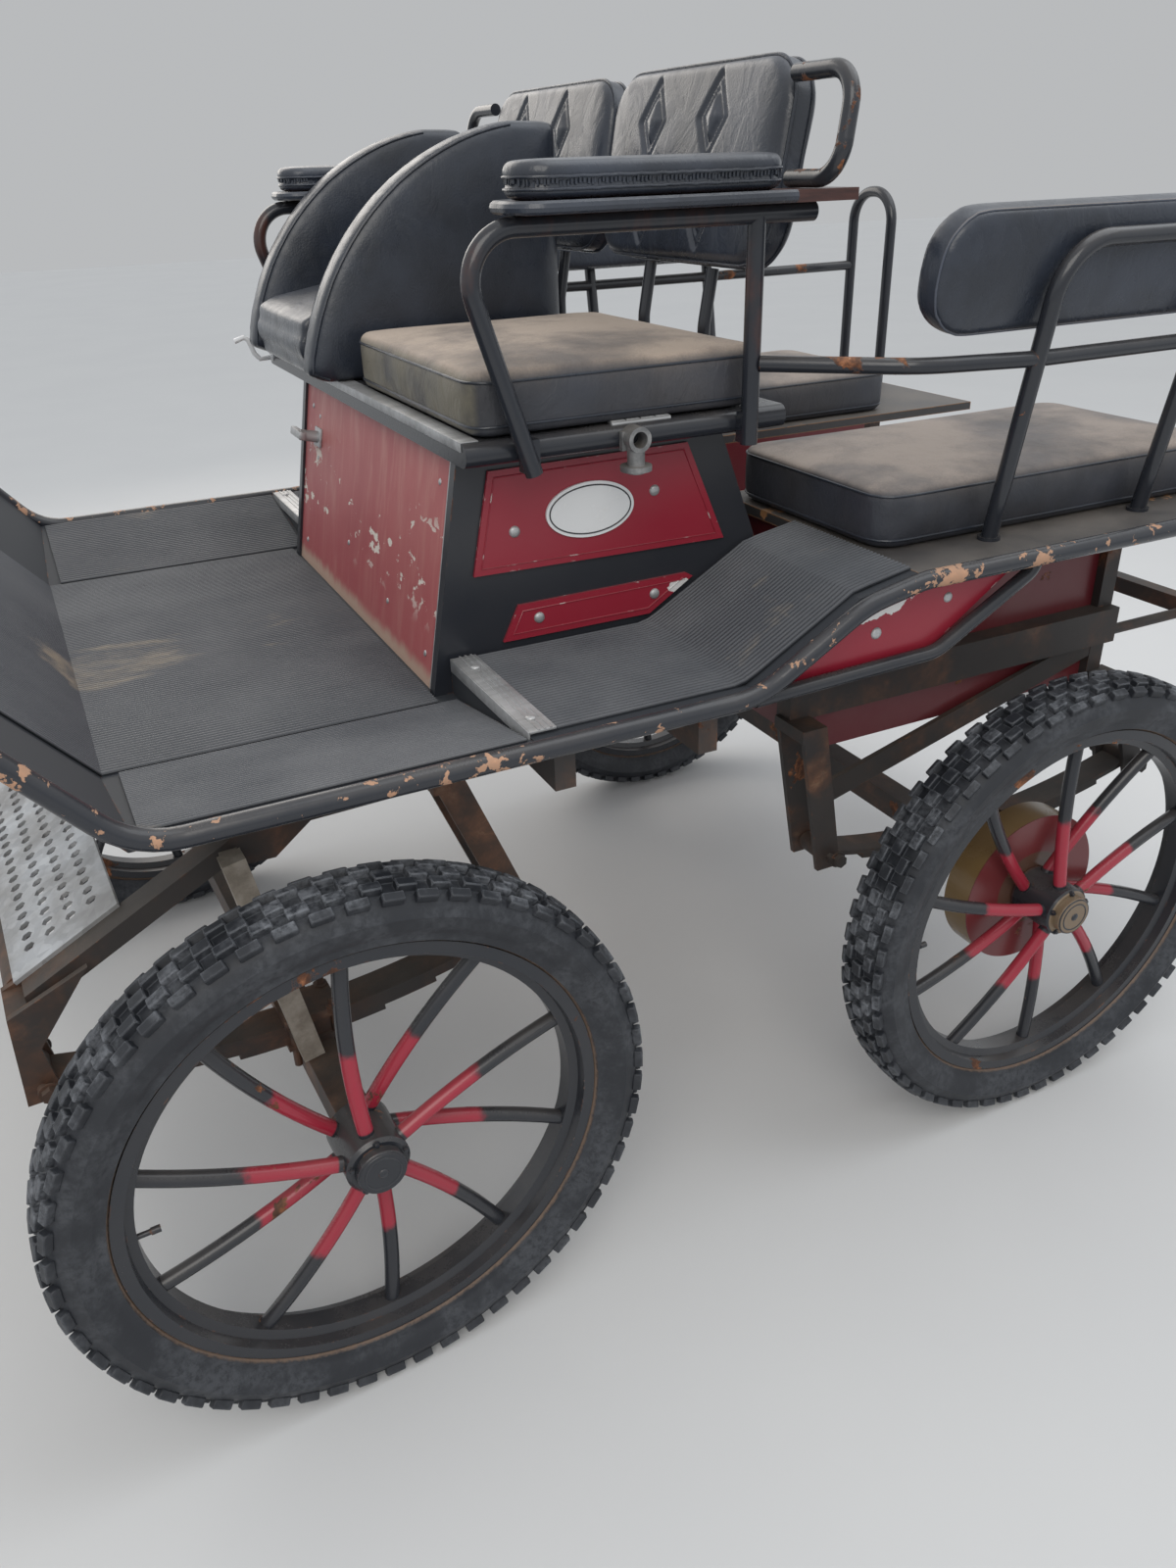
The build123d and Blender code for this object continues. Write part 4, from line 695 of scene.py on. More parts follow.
def swollen(bm, voxel, cap, floor=None):
    """Even mesh of a closed form, swelled by cloth pressure between its held seams."""
    pad = add("pad", baked(bm, "pad"))
    even = pad.modifiers.new("Even", "REMESH")
    even.mode = "VOXEL"
    even.voxel_size = voxel
    settle(pad)
    puff_up(pad, cap, floor)
    relax(pad, 2)
    smooth = pad.modifiers.new("Smooth", "SUBSURF")
    smooth.levels = smooth.render_levels = 1
    settle(pad)
    mesh = pad.data
    bpy.data.objects.remove(pad)
    return mesh


def puff_up(pad, cap, floor):
    """Runs the cloth and keeps each point within a cap of where it began."""
    steps = 20
    seams = pad.vertex_groups.new(name="seams")
    held = [v.index for v in pad.data.vertices if 0.30 < abs(v.normal.z) < 0.93]
    seams.add(held, 1.0, "REPLACE")
    cloth = pad.modifiers.new("Puff", "CLOTH")
    settings = cloth.settings
    settings.quality = 4
    settings.use_pressure = True
    settings.uniform_pressure_force = sizes().pressure
    settings.effector_weights.gravity = 0.0
    settings.vertex_group_mass = "seams"
    settings.pin_stiffness = 0.6
    cloth.collision_settings.use_collision = False
    cloth.point_cache.frame_start = 1
    cloth.point_cache.frame_end = steps
    for step in range(1, steps + 1):
        bpy.context.scene.frame_set(step)
    graph = bpy.context.evaluated_depsgraph_get()
    moved = [v.co.copy() for v in pad.evaluated_get(graph).data.vertices]
    pad.modifiers.clear()
    bpy.context.scene.frame_set(1)
    for vertex, target in zip(pad.data.vertices, moved):
        shift = target - vertex.co
        if shift.length > 1e-9:
            vertex.co += shift.normalized() * cap * math.tanh(shift.length / cap)
        if floor is not None:
            vertex.co.z = max(vertex.co.z, floor)


def relax(pad, rounds):
    bm = bmesh.new()
    bm.from_mesh(pad.data)
    for _ in range(rounds):
        bmesh.ops.smooth_vert(bm, verts=bm.verts, factor=0.5, use_axis_x=True, use_axis_y=True,
                              use_axis_z=True)
    bm.to_mesh(pad.data)
    bm.free()


def placed_copy(mesh, place):
    """Copy of a mesh moved to its place, mirrored ones turned right side out."""
    made = mesh.copy()
    made.transform(place)
    if place.determinant() < 0:
        made.flip_normals()
    return made


def show_pad(name, mesh, material, node):
    """Padded piece that stands for a node."""
    piece = show(name, mesh, material, replaces=(node,), sharp=60.0)


def show_seams(name, shape, material="clean_leatherette"):
    show(name, shape, material)


def slab(low, high, corner, edge, corner_axis=2):
    """Rounded slab: big corners about one axis, then soft edges all round."""
    bm = bmesh.new()
    block(bm, low, high)
    bevel(bm, [e for e in bm.edges if along(e, corner_axis)], corner, 8)
    faces = [f for f in bm.faces if abs(f.normal[corner_axis]) > 0.99]
    bevel(bm, {rim for face in faces for rim in face.edges}, edge, 3, False)
    return bm


def ring_path(low, high, corner, level, step=0.008):
    """Points round a rounded rectangle at a level."""
    x0, x1, y0, y1 = low[0] + corner, high[0] - corner, low[1] + corner, high[1] - corner
    turns = max(4, round(corner * math.pi / 2 / step))
    points = []
    for centre, first in (((x1, y1), 0), ((x0, y1), 90), ((x0, y0), 180), ((x1, y0), 270)):
        points += arc(centre, corner, first, first + 90, turns)
    spread = []
    for (ax, ay), (bx, by) in zip(points, points[1:] + points[:1]):
        count = max(1, round(math.hypot(bx - ax, by - ay) / step))
        for i in range(count):
            spread.append(Vector((ax + (bx - ax) * i / count, ay + (by - ay) * i / count, level)))
    return spread


def on_skin(mesh, path):
    """Places on a pad's skin nearest to a path's points, with the directions out of it."""
    bm = bmesh.new()
    bm.from_mesh(mesh)
    skin = BVHTree.FromBMesh(bm)
    bm.free()
    return [skin.find_nearest(point)[:2] for point in path]


def sew(mesh, paths, thick=1.0, sunk=0.35, closed=True):
    """New bmesh of cords sewn along paths, laid on the skin of a pad and thicker than a seam by a factor."""
    radius = sizes().seam_radius * thick
    bm = bmesh.new()
    for path in paths:
        laid = [spot + normal * radius * (1 - 2 * sunk) for spot, normal in on_skin(mesh, path)]
        tube(bm, laid, radius, closed, 2)
    return bm


# Operators
class CARRIAGE_OT_stage(bpy.types.Operator):
    """Camera at the viewer's place, plain floor and soft studio light"""

    bl_idname = "carriage.stage"
    bl_label = "Stage"

    lens: FloatProperty(name="Lens", description="Focal length over a 36 mm tall picture", default=26.75)
    floor_size: length("Floor", 40.0, "Width of the floor")

    def execute(self, context):
        context.scene.view_settings.view_transform = "Standard"
        self.add_camera(context.scene)
        self.add_floor()
        self.add_lights(context.scene)
        return {"FINISHED"}

    def add_camera(self, scene):
        data = bpy.data.cameras.new("viewer")
        data.sensor_fit = "VERTICAL"
        data.sensor_height = 36.0
        data.lens = self.lens
        yaw, pitch, roll = (math.radians(a) for a in (25.48, 28.22, -1.78))
        level = Vector((-math.sin(yaw), -math.cos(yaw), 0))
        ahead = level * math.cos(pitch) - UP * math.sin(pitch)
        right = Vector((-math.cos(yaw), math.sin(yaw), 0))
        above = right.cross(ahead)
        side = right * math.cos(roll) + above * math.sin(roll)
        top = above * math.cos(roll) - right * math.sin(roll)
        turn = Matrix((side, top, -ahead)).transposed()
        scene.camera = add("viewer", data)
        scene.camera.matrix_world = Matrix.Translation(at(1.199, 1.579, 1.310)) @ turn.to_4x4()

    def add_floor(self):
        bm = bmesh.new()
        bmesh.ops.create_grid(bm, x_segments=1, y_segments=1, size=self.floor_size / 2)
        mesh = baked(bm, "floor")
        coat = Coat("pale_floor")
        shade = coat.cloud(0.3, 0.7, 1.6, 5.0, 0.55)
        colour = coat.blend(shade, (0.615, 0.615, 0.615, 1), (0.63, 0.63, 0.628, 1))
        mesh.materials.append(coat.done(colour, 0.9))
        add("floor", mesh)

    def add_lights(self, scene):
        scene.world = bpy.data.worlds.new("studio")
        scene.world.use_nodes = True
        sky = Wiring(scene.world.node_tree)
        nodes = sky.tree.nodes
        sky.feed(nodes["Background"], {"Color": (0.94, 0.97, 1.0, 1), "Strength": 0.80})
        pale = sky.put("Background", {"Color": (0.485, 0.495, 0.505, 1), "Strength": 1.0})
        seen = sky.put("MixShader", {0: sky.put("LightPath").outputs["Is Camera Ray"],
                                     1: nodes["Background"].outputs[0], 2: pale.outputs[0]})
        sky.feed(nodes["World Output"], {"Surface": seen.outputs[0]})
        lamps = (
            # name, place, size, power, colour
            ("window", (1.6, 3.2, 3.4), 2.6, 62.0, (1.0, 0.96, 0.90)),
            ("skylight", (-1.6, 0.6, 4.0), 3.2, 42.0, (0.90, 0.95, 1.0)),
            ("back_glow", (0.5, -3.0, 2.6), 2.4, 40.0, (1.0, 0.93, 0.85)),
        )
        for name, place, size, power, colour in lamps:
            data = bpy.data.lights.new(name, "AREA")
            data.size = size
            data.energy = power
            data.color = colour
            aim = (Vector((0, 0, 0.7)) - Vector(place)).to_track_quat("-Z", "Y").to_matrix().to_4x4()
            add(name, data).matrix_world = Matrix.Translation(place) @ aim


class CARRIAGE_OT_paint(bpy.types.Operator):
    """Finishes of the rigid parts that are shown as they are"""

    bl_idname = "carriage.paint"
    bl_label = "Paint"

    def execute(self, context):
        coats = {
            "black_steel": ("seat_plate", "backrest_frames", "gusset_tubes"),
            "black_box": ("seat_box",),
            "rail_steel": ("bench_rails",),
            "brown_arm": ("arm_frames",),
            "chipped_tube": ("edge_rails",),
            "rusty_chassis": ("chassis", "fore_frame", "fore_side_bars", "nose_bar", "front_axle",
                              "rear_axle", "front_springs", "rear_springs"),
            "crimson_panel": ("side_panels", "gusset_panels"),
            "dark_red_body": ("rear_body",),
            "deck_plate": ("footboard", "running_boards"),
            "platform_plate": ("bench_platforms",),
            "faded_plywood": ("front_panel",),
            "galvanized": ("front_step", "rear_step"),
            "pale_post": ("front_posts",),
            "white_enamel": ("blank_ovals",),
            "varnished_board": ("arm_boards",),
            "grey_casting": ("lamp_brackets",),
        }
        for material, nodes in coats.items():
            for node in nodes:
                self.coat(node, finish(material))
        for name in WHEELS:
            self.coat("wheel_" + name, wheel_paint(name))
        return {"FINISHED"}

    def coat(self, node, material):
        for place in frame["nodes"][node].material_slots:
            place.link = "OBJECT"
            place.material = material


class CARRIAGE_OT_tyres(bpy.types.Operator):
    """Knobbly tyres with rounded side walls"""

    bl_idname = "carriage.tyres"
    bl_label = "Tyres"

    def execute(self, context):
        mesh = self.cover()
        for name in WHEELS:
            made = placed_copy(mesh, wheel_place(name))
            show("cover_" + name, made, "tyre_rubber", "wheel_" + name, ("tyre_" + name,), 40.0)
        return {"FINISHED"}

    def cover(self):
        """One tyre about the origin, its axle along Y, with how far out each point is as an attribute."""
        low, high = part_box("tyre_rl")
        radius = (high.z - low.z) / 2
        half = (high.y - low.y) / 2
        bead, rim = 0.0227, 0.2763
        crown = radius - sizes().knob_height
        # side wall: how far out from the rim and in from the widest point
        wall = ((0.010, 0.011), (0.012, 0.010), (0.015, 0.0085), (0.024, 0.002), (0.034, 0.001), (0.036, 0),
                (0.039, 0.001), (0.048, 0.005))
        outline = [(rim - 0.010, bead), (rim, bead), (rim + 0.003, bead + 0.008)]
        outline += [(rim + out, half - inward) for out, inward in wall]
        outline += [(crown - 0.006, half - 0.010), (crown - 0.002, half - 0.020), (crown, 0.010),
                    (crown, 0.0)]
        outline += [(r, -y) for r, y in reversed(outline[:-1])]
        bm = bmesh.new()
        verts = [bm.verts.new((r, y, 0)) for r, y in outline]
        edges = [bm.edges.new(pair) for pair in zip(verts, verts[1:] + verts[:1])]
        bmesh.ops.spin(bm, geom=verts + edges, cent=(0, 0, 0), axis=(0, 1, 0), angle=2 * math.pi, steps=120,
                       use_merge=True)
        bmesh.ops.remove_doubles(bm, verts=bm.verts, dist=1e-6)
        self.add_knobs(bm, crown, radius)
        bmesh.ops.recalc_face_normals(bm, faces=bm.faces)
        mesh = baked(bm, "cover")
        reach = [(math.hypot(v.co.x, v.co.z) - rim) / (radius - rim) for v in mesh.vertices]
        mesh.attributes.new("reach", "FLOAT", "POINT").data.foreach_set("value", reach)
        return mesh

    def add_knobs(self, bm, crown, radius):
        count = sizes().knob_rows
        rows = (
            # place across, width across, length round, share of a step, lean outwards in degrees, drop
            (0.000, 0.017, 0.020, 0.0, 0, 0.0),
            (0.018, 0.013, 0.022, 0.5, 7, 0.0008),
            (-0.018, 0.013, 0.022, 0.5, -7, 0.0008),
            (0.032, 0.011, 0.024, 0.0, 28, 0.0055),
            (-0.032, 0.011, 0.024, 0.0, -28, 0.0055),
        )
        for across, width, long, share, lean, drop in rows:
            tilt = Matrix.Rotation(math.radians(lean), 4, "Z")
            tilt = Matrix.Translation((crown - drop, across, 0)) @ tilt
            corner = Vector((radius - crown, width / 2, long / 2))
            for index in range(count):
                turn = Matrix.Rotation((index + share) * 2 * math.pi / count, 4, "Y")
                block(bm, (-0.003, -corner.y, -corner.z), corner, 0.0012, 1, turn @ tilt)


class CARRIAGE_OT_wheel_trim(bpy.types.Operator):
    """Hub cap rings, hub bolts and valve of each wheel"""

    bl_idname = "carriage.wheel_trim"
    bl_label = "Wheel Trim"

    bolts: IntProperty(name="Hub Bolts", description="Bolts round a hub", default=5, min=3)

    def execute(self, context):
        face, bolt_circle = 0.038, 0.0325
        for name in WHEELS:
            bm = bmesh.new()
            for x, z in arc((0, 0), bolt_circle, 90, 450, self.bolts)[:-1]:
                bolt(bm, (x, face - 0.001, z), LEFT, 0.0028, 0.003)
            for radius, out, thick in ((0.0205, 0.0115, 0.0013), (0.0265, 0.0105, 0.0012)):
                ring = [Vector((x, face + out, z)) for x, z in arc((0, 0), radius, 0, 360, 40)[:-1]]
                tube(bm, ring, thick, True, 2)
            rivet(bm, (0, face + 0.012, 0), LEFT, 0.006, 0.35)
            for reach, radius, tall in ((0.2575, 0.0032, 0.024), (0.236, 0.0042, 0.010)):
                disc(bm, (reach, 0.0, 0.0), (-1, 0, 0), radius, tall, 12)
            bm.transform(wheel_place(name))
            show("hub_trim_" + name, bm, "black_steel", "wheel_" + name)
        return {"FINISHED"}


class CARRIAGE_OT_mats(bpy.types.Operator):
    """Ribbed mats of the foot space, its wings and the running boards"""

    bl_idname = "carriage.mats"
    bl_label = "Mats"

    thick: length("Thickness", 0.004, "Thickness of a mat with its ribs")

    def execute(self, context):
        self.floor_mat()
        self.running_mats()
        self.wing_mats()
        return {"FINISHED"}

    def lay(self, node, bm):
        show("ribbed_" + node, bm, "rib_rubber", replaces=(node,), sharp=20.0)

    def floor_mat(self):
        """Flat over the floor, then up the toe board."""
        low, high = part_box("floor_mat")
        level, fold, angle = 0.744 + self.thick, x_of(1.192), math.radians(50)
        path = [(low.x, level), (fold - self.thick * math.tan(angle / 2), level),
                (high.x - self.thick * math.sin(angle), high.z - 0.0005)]
        bm = bmesh.new()
        self.sheet(bm, path, low.y, high.y)
        self.lay("floor_mat", bm)

    def running_mats(self):
        """Along the running boards and up their ramps."""
        path = [(x_of(station), z + self.thick) for station, z in
                ((0.785, 0.7853), (0.535, 0.7853), (0.520, 0.7885), (0.505, 0.7957), (0.400, 0.8552),
                 (0.380, 0.8672), (0.360, 0.8718), (0.300, 0.8825))]
        bm = bmesh.new()
        for side in SIDES:
            self.sheet(bm, path, side * 0.344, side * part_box("running_mats")[1].y)
        self.lay("running_mats", bm)

    def wing_mats(self):
        """On the two wings beside the floor, which rise outwards."""
        low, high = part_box("wing_mats")
        inner = 0.367
        rise = (high.z - low.z - self.thick) / (high.y - inner)
        path = [(low.x, low.z + self.thick), (high.x, low.z + self.thick)]
        bm = bmesh.new()
        for side in SIDES:
            self.sheet(bm, path, side * inner, side * high.y)
        for vert in bm.verts:
            vert.co.z += (abs(vert.co.y) - inner) * rise
        self.lay("wing_mats", bm)

    def sheet(self, bm, path, y0, y1):
        """Ribs that run the length of a path in X and Z, on a sheet between two sides."""
        crest = bm.verts.layers.float.get("rib") or bm.verts.layers.float.new("rib")
        columns = round(abs(y1 - y0) / sizes().rib_pitch) * 4
        rows = len(path) - 1
        lift = sizes().rib_height
        made = bmesh.ops.create_grid(bm, x_segments=columns, y_segments=rows, size=0.5)
        for vert in made["verts"]:
            column = round((vert.co.x + 0.5) * columns)
            x, z = path[round((vert.co.y + 0.5) * rows)]
            vert[crest] = 1.0 if column % 4 in (1, 2) else 0.0
            vert.co = (x, y0 + (y1 - y0) * column / columns, z + (vert[crest] - 1) * lift)
        faces = list({face for vert in made["verts"] for face in vert.link_faces})
        bmesh.ops.recalc_face_normals(bm, faces=faces)
        if sum(face.normal.z for face in faces) < 0:
            bmesh.ops.reverse_faces(bm, faces=faces)
        border = {edge for face in faces for edge in face.edges if edge.is_boundary}
        lower = new_verts(bmesh.ops.extrude_edge_only(bm, edges=list(border)))
        bmesh.ops.translate(bm, verts=lower, vec=(0, 0, lift - self.thick))


class CARRIAGE_OT_seat_pads(bpy.types.Operator):
    """Cushions and bolsters of the front seat"""

    bl_idname = "carriage.seat_pads"
    bl_label = "Seat Pads"

    voxel = 0.0065

    def execute(self, context):
        self.passenger()
        self.driver()
        self.bolsters()
        return {"FINISHED"}

    def passenger(self):
        low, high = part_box("passenger_cushion")
        bm = slab(low + Vector((0.004, 0.004, 0.0)), high - Vector((0.004, 0.004, 0.006)), 0.026, 0.010)
        mesh = swollen(bm, self.voxel, 0.010, low.z)
        show_pad("passenger_pad", mesh, "dusty_leatherette", "passenger_cushion")
        paths = [ring_path(low, high, 0.03, level) for level in (high.z - 0.017, low.z + 0.012)]
        show_seams("passenger_seams", sew(mesh, paths))

    def driver(self):
        low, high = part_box("driver_cushion")
        lip, brow, groove = 1.064, 1.128, 0.010
        # how far back from the front, and the height
        face = ((0.012, low.z + 0.003), (0.003, low.z + 0.010), (groove, lip + 0.004), (0, lip + 0.016),
                (0, lip + 0.032), (groove, lip + 0.046), (0.002, lip + 0.060), (0.006, brow - 0.006),
                (0.030, brow + 0.006))
        outline = [(low.x, low.z)] + [(high.x - back, z) for back, z in face] + [(low.x, high.z)]
        bm = prism(outline, low.y + 0.002, high.y - 0.002)
        bevel(bm, [e for e in bm.edges if along(e, 1)], 0.004, 2)
        mesh = swollen(bm, self.voxel, 0.012, low.z)
        show_pad("driver_pad", mesh, "worn_leatherette", "driver_cushion")

    def bolsters(self):
        low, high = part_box("driver_bolsters")
        width = 0.066
        sweep = arc_through((x_of(0.812), 1.060), (x_of(0.690), 1.272), (x_of(0.500), high.z), 18)
        rim = [(x_of(0.786), low.z)] + sweep
        bm = prism([(x_of(0.432), high.z - 0.002), (x_of(0.432), low.z)] + rim, 0.002, width - 0.002)
        bevel(bm, [e for e in bm.edges if not along(e, 1)], 0.016, 3)
        mesh = swollen(bm, self.voxel, 0.007, low.z)
        for name, y in (("near", high.y - width), ("far", low.y)):
            made = placed_copy(mesh, Matrix.Translation((0, y, 0)))
            show_pad(f"bolster_{name}", made, "clean_leatherette", "driver_bolsters")
            paths = [[Vector((px, y + across, pz)) for px, pz in rim] for across in (width - 0.004, 0.004)]
            show_seams(f"bolster_seams_{name}", sew(made, paths, 1.2, 0.3, False))


class CARRIAGE_OT_backrests(bpy.types.Operator):
    """Backrests of the front seat with their sewn diamonds"""

    bl_idname = "carriage.backrests"
    bl_label = "Backrests"

    lean: FloatProperty(name="Lean", description="Backward lean", default=math.radians(11), unit="ROTATION")

    def execute(self, context):
        thick, width, height, corner = 0.056, 0.423, 0.226, 0.055
        inset = 0.004
        bm = slab((inset - thick, inset - width / 2, inset), (-inset, width / 2 - inset, height - inset),
                  corner, 0.016, 0)
        mesh = swollen(bm, 0.0052, 0.007)
        self.sew_diamonds(mesh, height)
        ring = ring_path((-width / 2, 0), (width / 2, height), corner, 0)
        for name in ("passenger", "driver"):
            low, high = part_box(name + "_backrest")
            foot = low.z + thick * math.sin(self.lean)
            middle = Matrix.Translation((high.x, (low.y + high.y) / 2, foot))
            place = middle @ Matrix.Rotation(-self.lean, 4, "Y")
            made = placed_copy(mesh, place)
            show_pad(name + "_back_pad", made, "worn_leatherette", name + "_backrest")
            paths = [[place @ Vector((depth, p.x, p.y)) for p in ring] for depth in (-0.014, -0.040)]
            show_seams(name + "_back_piping", sew(made, paths, 1.3, 0.25), "worn_leatherette")
        return {"FINISHED"}

    def sew_diamonds(self, mesh, height):
        """Two columns of tall diamonds pressed in at their outlines and raised inside."""
        centres = [(y, height * share) for y in (-0.082, 0.062) for share in (0.29, 0.71)]
        half_wide, half_tall, line = 0.030, 0.046, 0.13
        for vertex in mesh.vertices:
            if vertex.co.x < -0.028:
                continue
            depth = 0.0
            for y, z in centres:
                reach = abs(vertex.co.y - y) / half_wide + abs(vertex.co.z - z) / half_tall
                outer = math.exp(-(((reach - 1.0) / line) ** 2))
                inner = math.exp(-(((reach - 0.66) / line) ** 2))
                raised = max(0.0, 1 - reach / 0.6)
                depth += -0.0042 * outer - 0.0036 * inner + 0.004 * raised
            vertex.co.x += depth


class CARRIAGE_OT_arm_pads(bpy.types.Operator):
    """Arm pads in two rolls with a stitched band between them"""

    bl_idname = "carriage.arm_pads"
    bl_label = "Arm Pads"

    def execute(self, context):
        low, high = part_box("arm_pads")
        width, corner = 0.082, 0.035
        size = Vector((high.x - low.x, width, high.z - low.z))
        bm = slab((0.003, 0.003, 0.0), size - Vector((0.003, 0.003, 0.004)), corner, 0.009)
        mesh = swollen(bm, 0.0048, 0.006, 0.0)
        self.roll(mesh)
        for name, y in (("near", high.y - width), ("far", low.y)):
            place = Matrix.Translation((low.x, y, low.z))
            made = placed_copy(mesh, place)
            show_pad(f"arm_pad_{name}", made, "worn_leatherette", "arm_pads")
            lines = [[place @ p for p in ring_path((0, 0), size, corner, level, step)]
                     for level, step in ((0.010, 0.008), (0.0195, 0.008), (0.0148, 0.0042))]
            bm = sew(made, lines[:2], sunk=0.3)
            self.stitches(bm, made, lines[2])
            self.lower_roll(bm, low.x, high.x, y, y + width, low.z)
            show_seams(f"arm_pad_seams_{name}", bm, "worn_leatherette")
        return {"FINISHED"}

    def lower_roll(self, bm, x0, x1, y0, y1, level):
        """Roll of the cover that goes round the front and the sides of the board below the pad."""
        radius, corner, out = 0.0064, 0.030, 0.0018
        back, x1, y0, y1 = x0 + 0.004, x1 + out, y0 - out, y1 + out
        points = [(back, y0), *arc((x1 - corner, y0 + corner), corner, -90, 0, 8),
                  *arc((x1 - corner, y1 - corner), corner, 0, 90, 8), (back, y1)]
        tube(bm, [Vector((px, py, level - radius + 0.0008)) for px, py in points], radius)

    def roll(self, mesh):
        """Draws the side in at the band, so that a thin roll stays below and a thick one above."""
        for vertex in mesh.vertices:
            side = 1 - abs(vertex.normal.z)
            waist = math.exp(-(((vertex.co.z - 0.015) / 0.005) ** 2))
            vertex.co -= Vector((vertex.normal.x, vertex.normal.y, 0)) * 0.0035 * waist * side

    def stitches(self, bm, mesh, path):
        for spot, normal in on_skin(mesh, path):
            turn = LEFT.rotation_difference(Vector((normal.x, normal.y, 0))).to_matrix().to_4x4()
            turn = Matrix.Translation(spot) @ turn
            block(bm, (-0.0011, -0.0014, -0.0038), (0.0011, 0.0010, 0.0038), turn=turn)


class CARRIAGE_OT_bench_pads(bpy.types.Operator):
    """Cushions and backrests of the two benches"""

    bl_idname = "carriage.bench_pads"
    bl_label = "Bench Pads"

    def execute(self, context):
        cushion, seams = self.cushion()
        board, welt = self.backrest()
        for name, place in (("left", Matrix.Identity(4)), ("right", Matrix.Scale(-1, 4, LEFT))):
            show_pad("bench_pad_" + name, placed_copy(cushion, place), "bench_leatherette",
                     "bench_cushion_" + name)
            show_seams("bench_seams_" + name, placed_copy(seams, place))
            show_pad("bench_back_pad_" + name, placed_copy(board, place), "worn_leatherette",
                     "bench_backrest_" + name)
            show_seams("bench_back_seams_" + name, placed_copy(welt, place), "worn_piping")
        return {"FINISHED"}

    def cushion(self):
        low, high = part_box("bench_cushion_left")
        bm = slab(low + Vector((0.004, 0.004, 0.0)), high - Vector((0.004, 0.004, 0.005)), 0.035, 0.010)
        mesh = swollen(bm, 0.0085, 0.009, low.z)
        paths = [ring_path(low, high, 0.037, level) for level in (high.z - 0.014, low.z + 0.010)]
        return mesh, baked(sew(mesh, paths), "bench_seams")

    def backrest(self):
        """The left board, built square and then leaned outwards."""
        low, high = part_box("bench_backrest_left")
        long, thick, height, corner = high.x - low.x, 0.052, 0.138, 0.055
        lean = math.atan2(0.057, 0.338)
        inset = 0.004
        bm = slab((inset, inset - thick, inset), (long - inset, -inset, height - inset), corner, 0.012, 1)
        mesh = swollen(bm, 0.0072, 0.005)
        foot = high.z - height * math.cos(lean)
        outer = high.y - height * math.sin(lean)
        place = Matrix.Translation((low.x, outer, foot)) @ Matrix.Rotation(-lean, 4, "X")
        mesh.transform(place)
        ring = ring_path((0, 0), (long, height), corner, 0)
        path = [place @ Vector((p.x, -0.007, p.y)) for p in ring]
        return mesh, baked(sew(mesh, [path], 0.875, 0.3), "bench_back_seams")


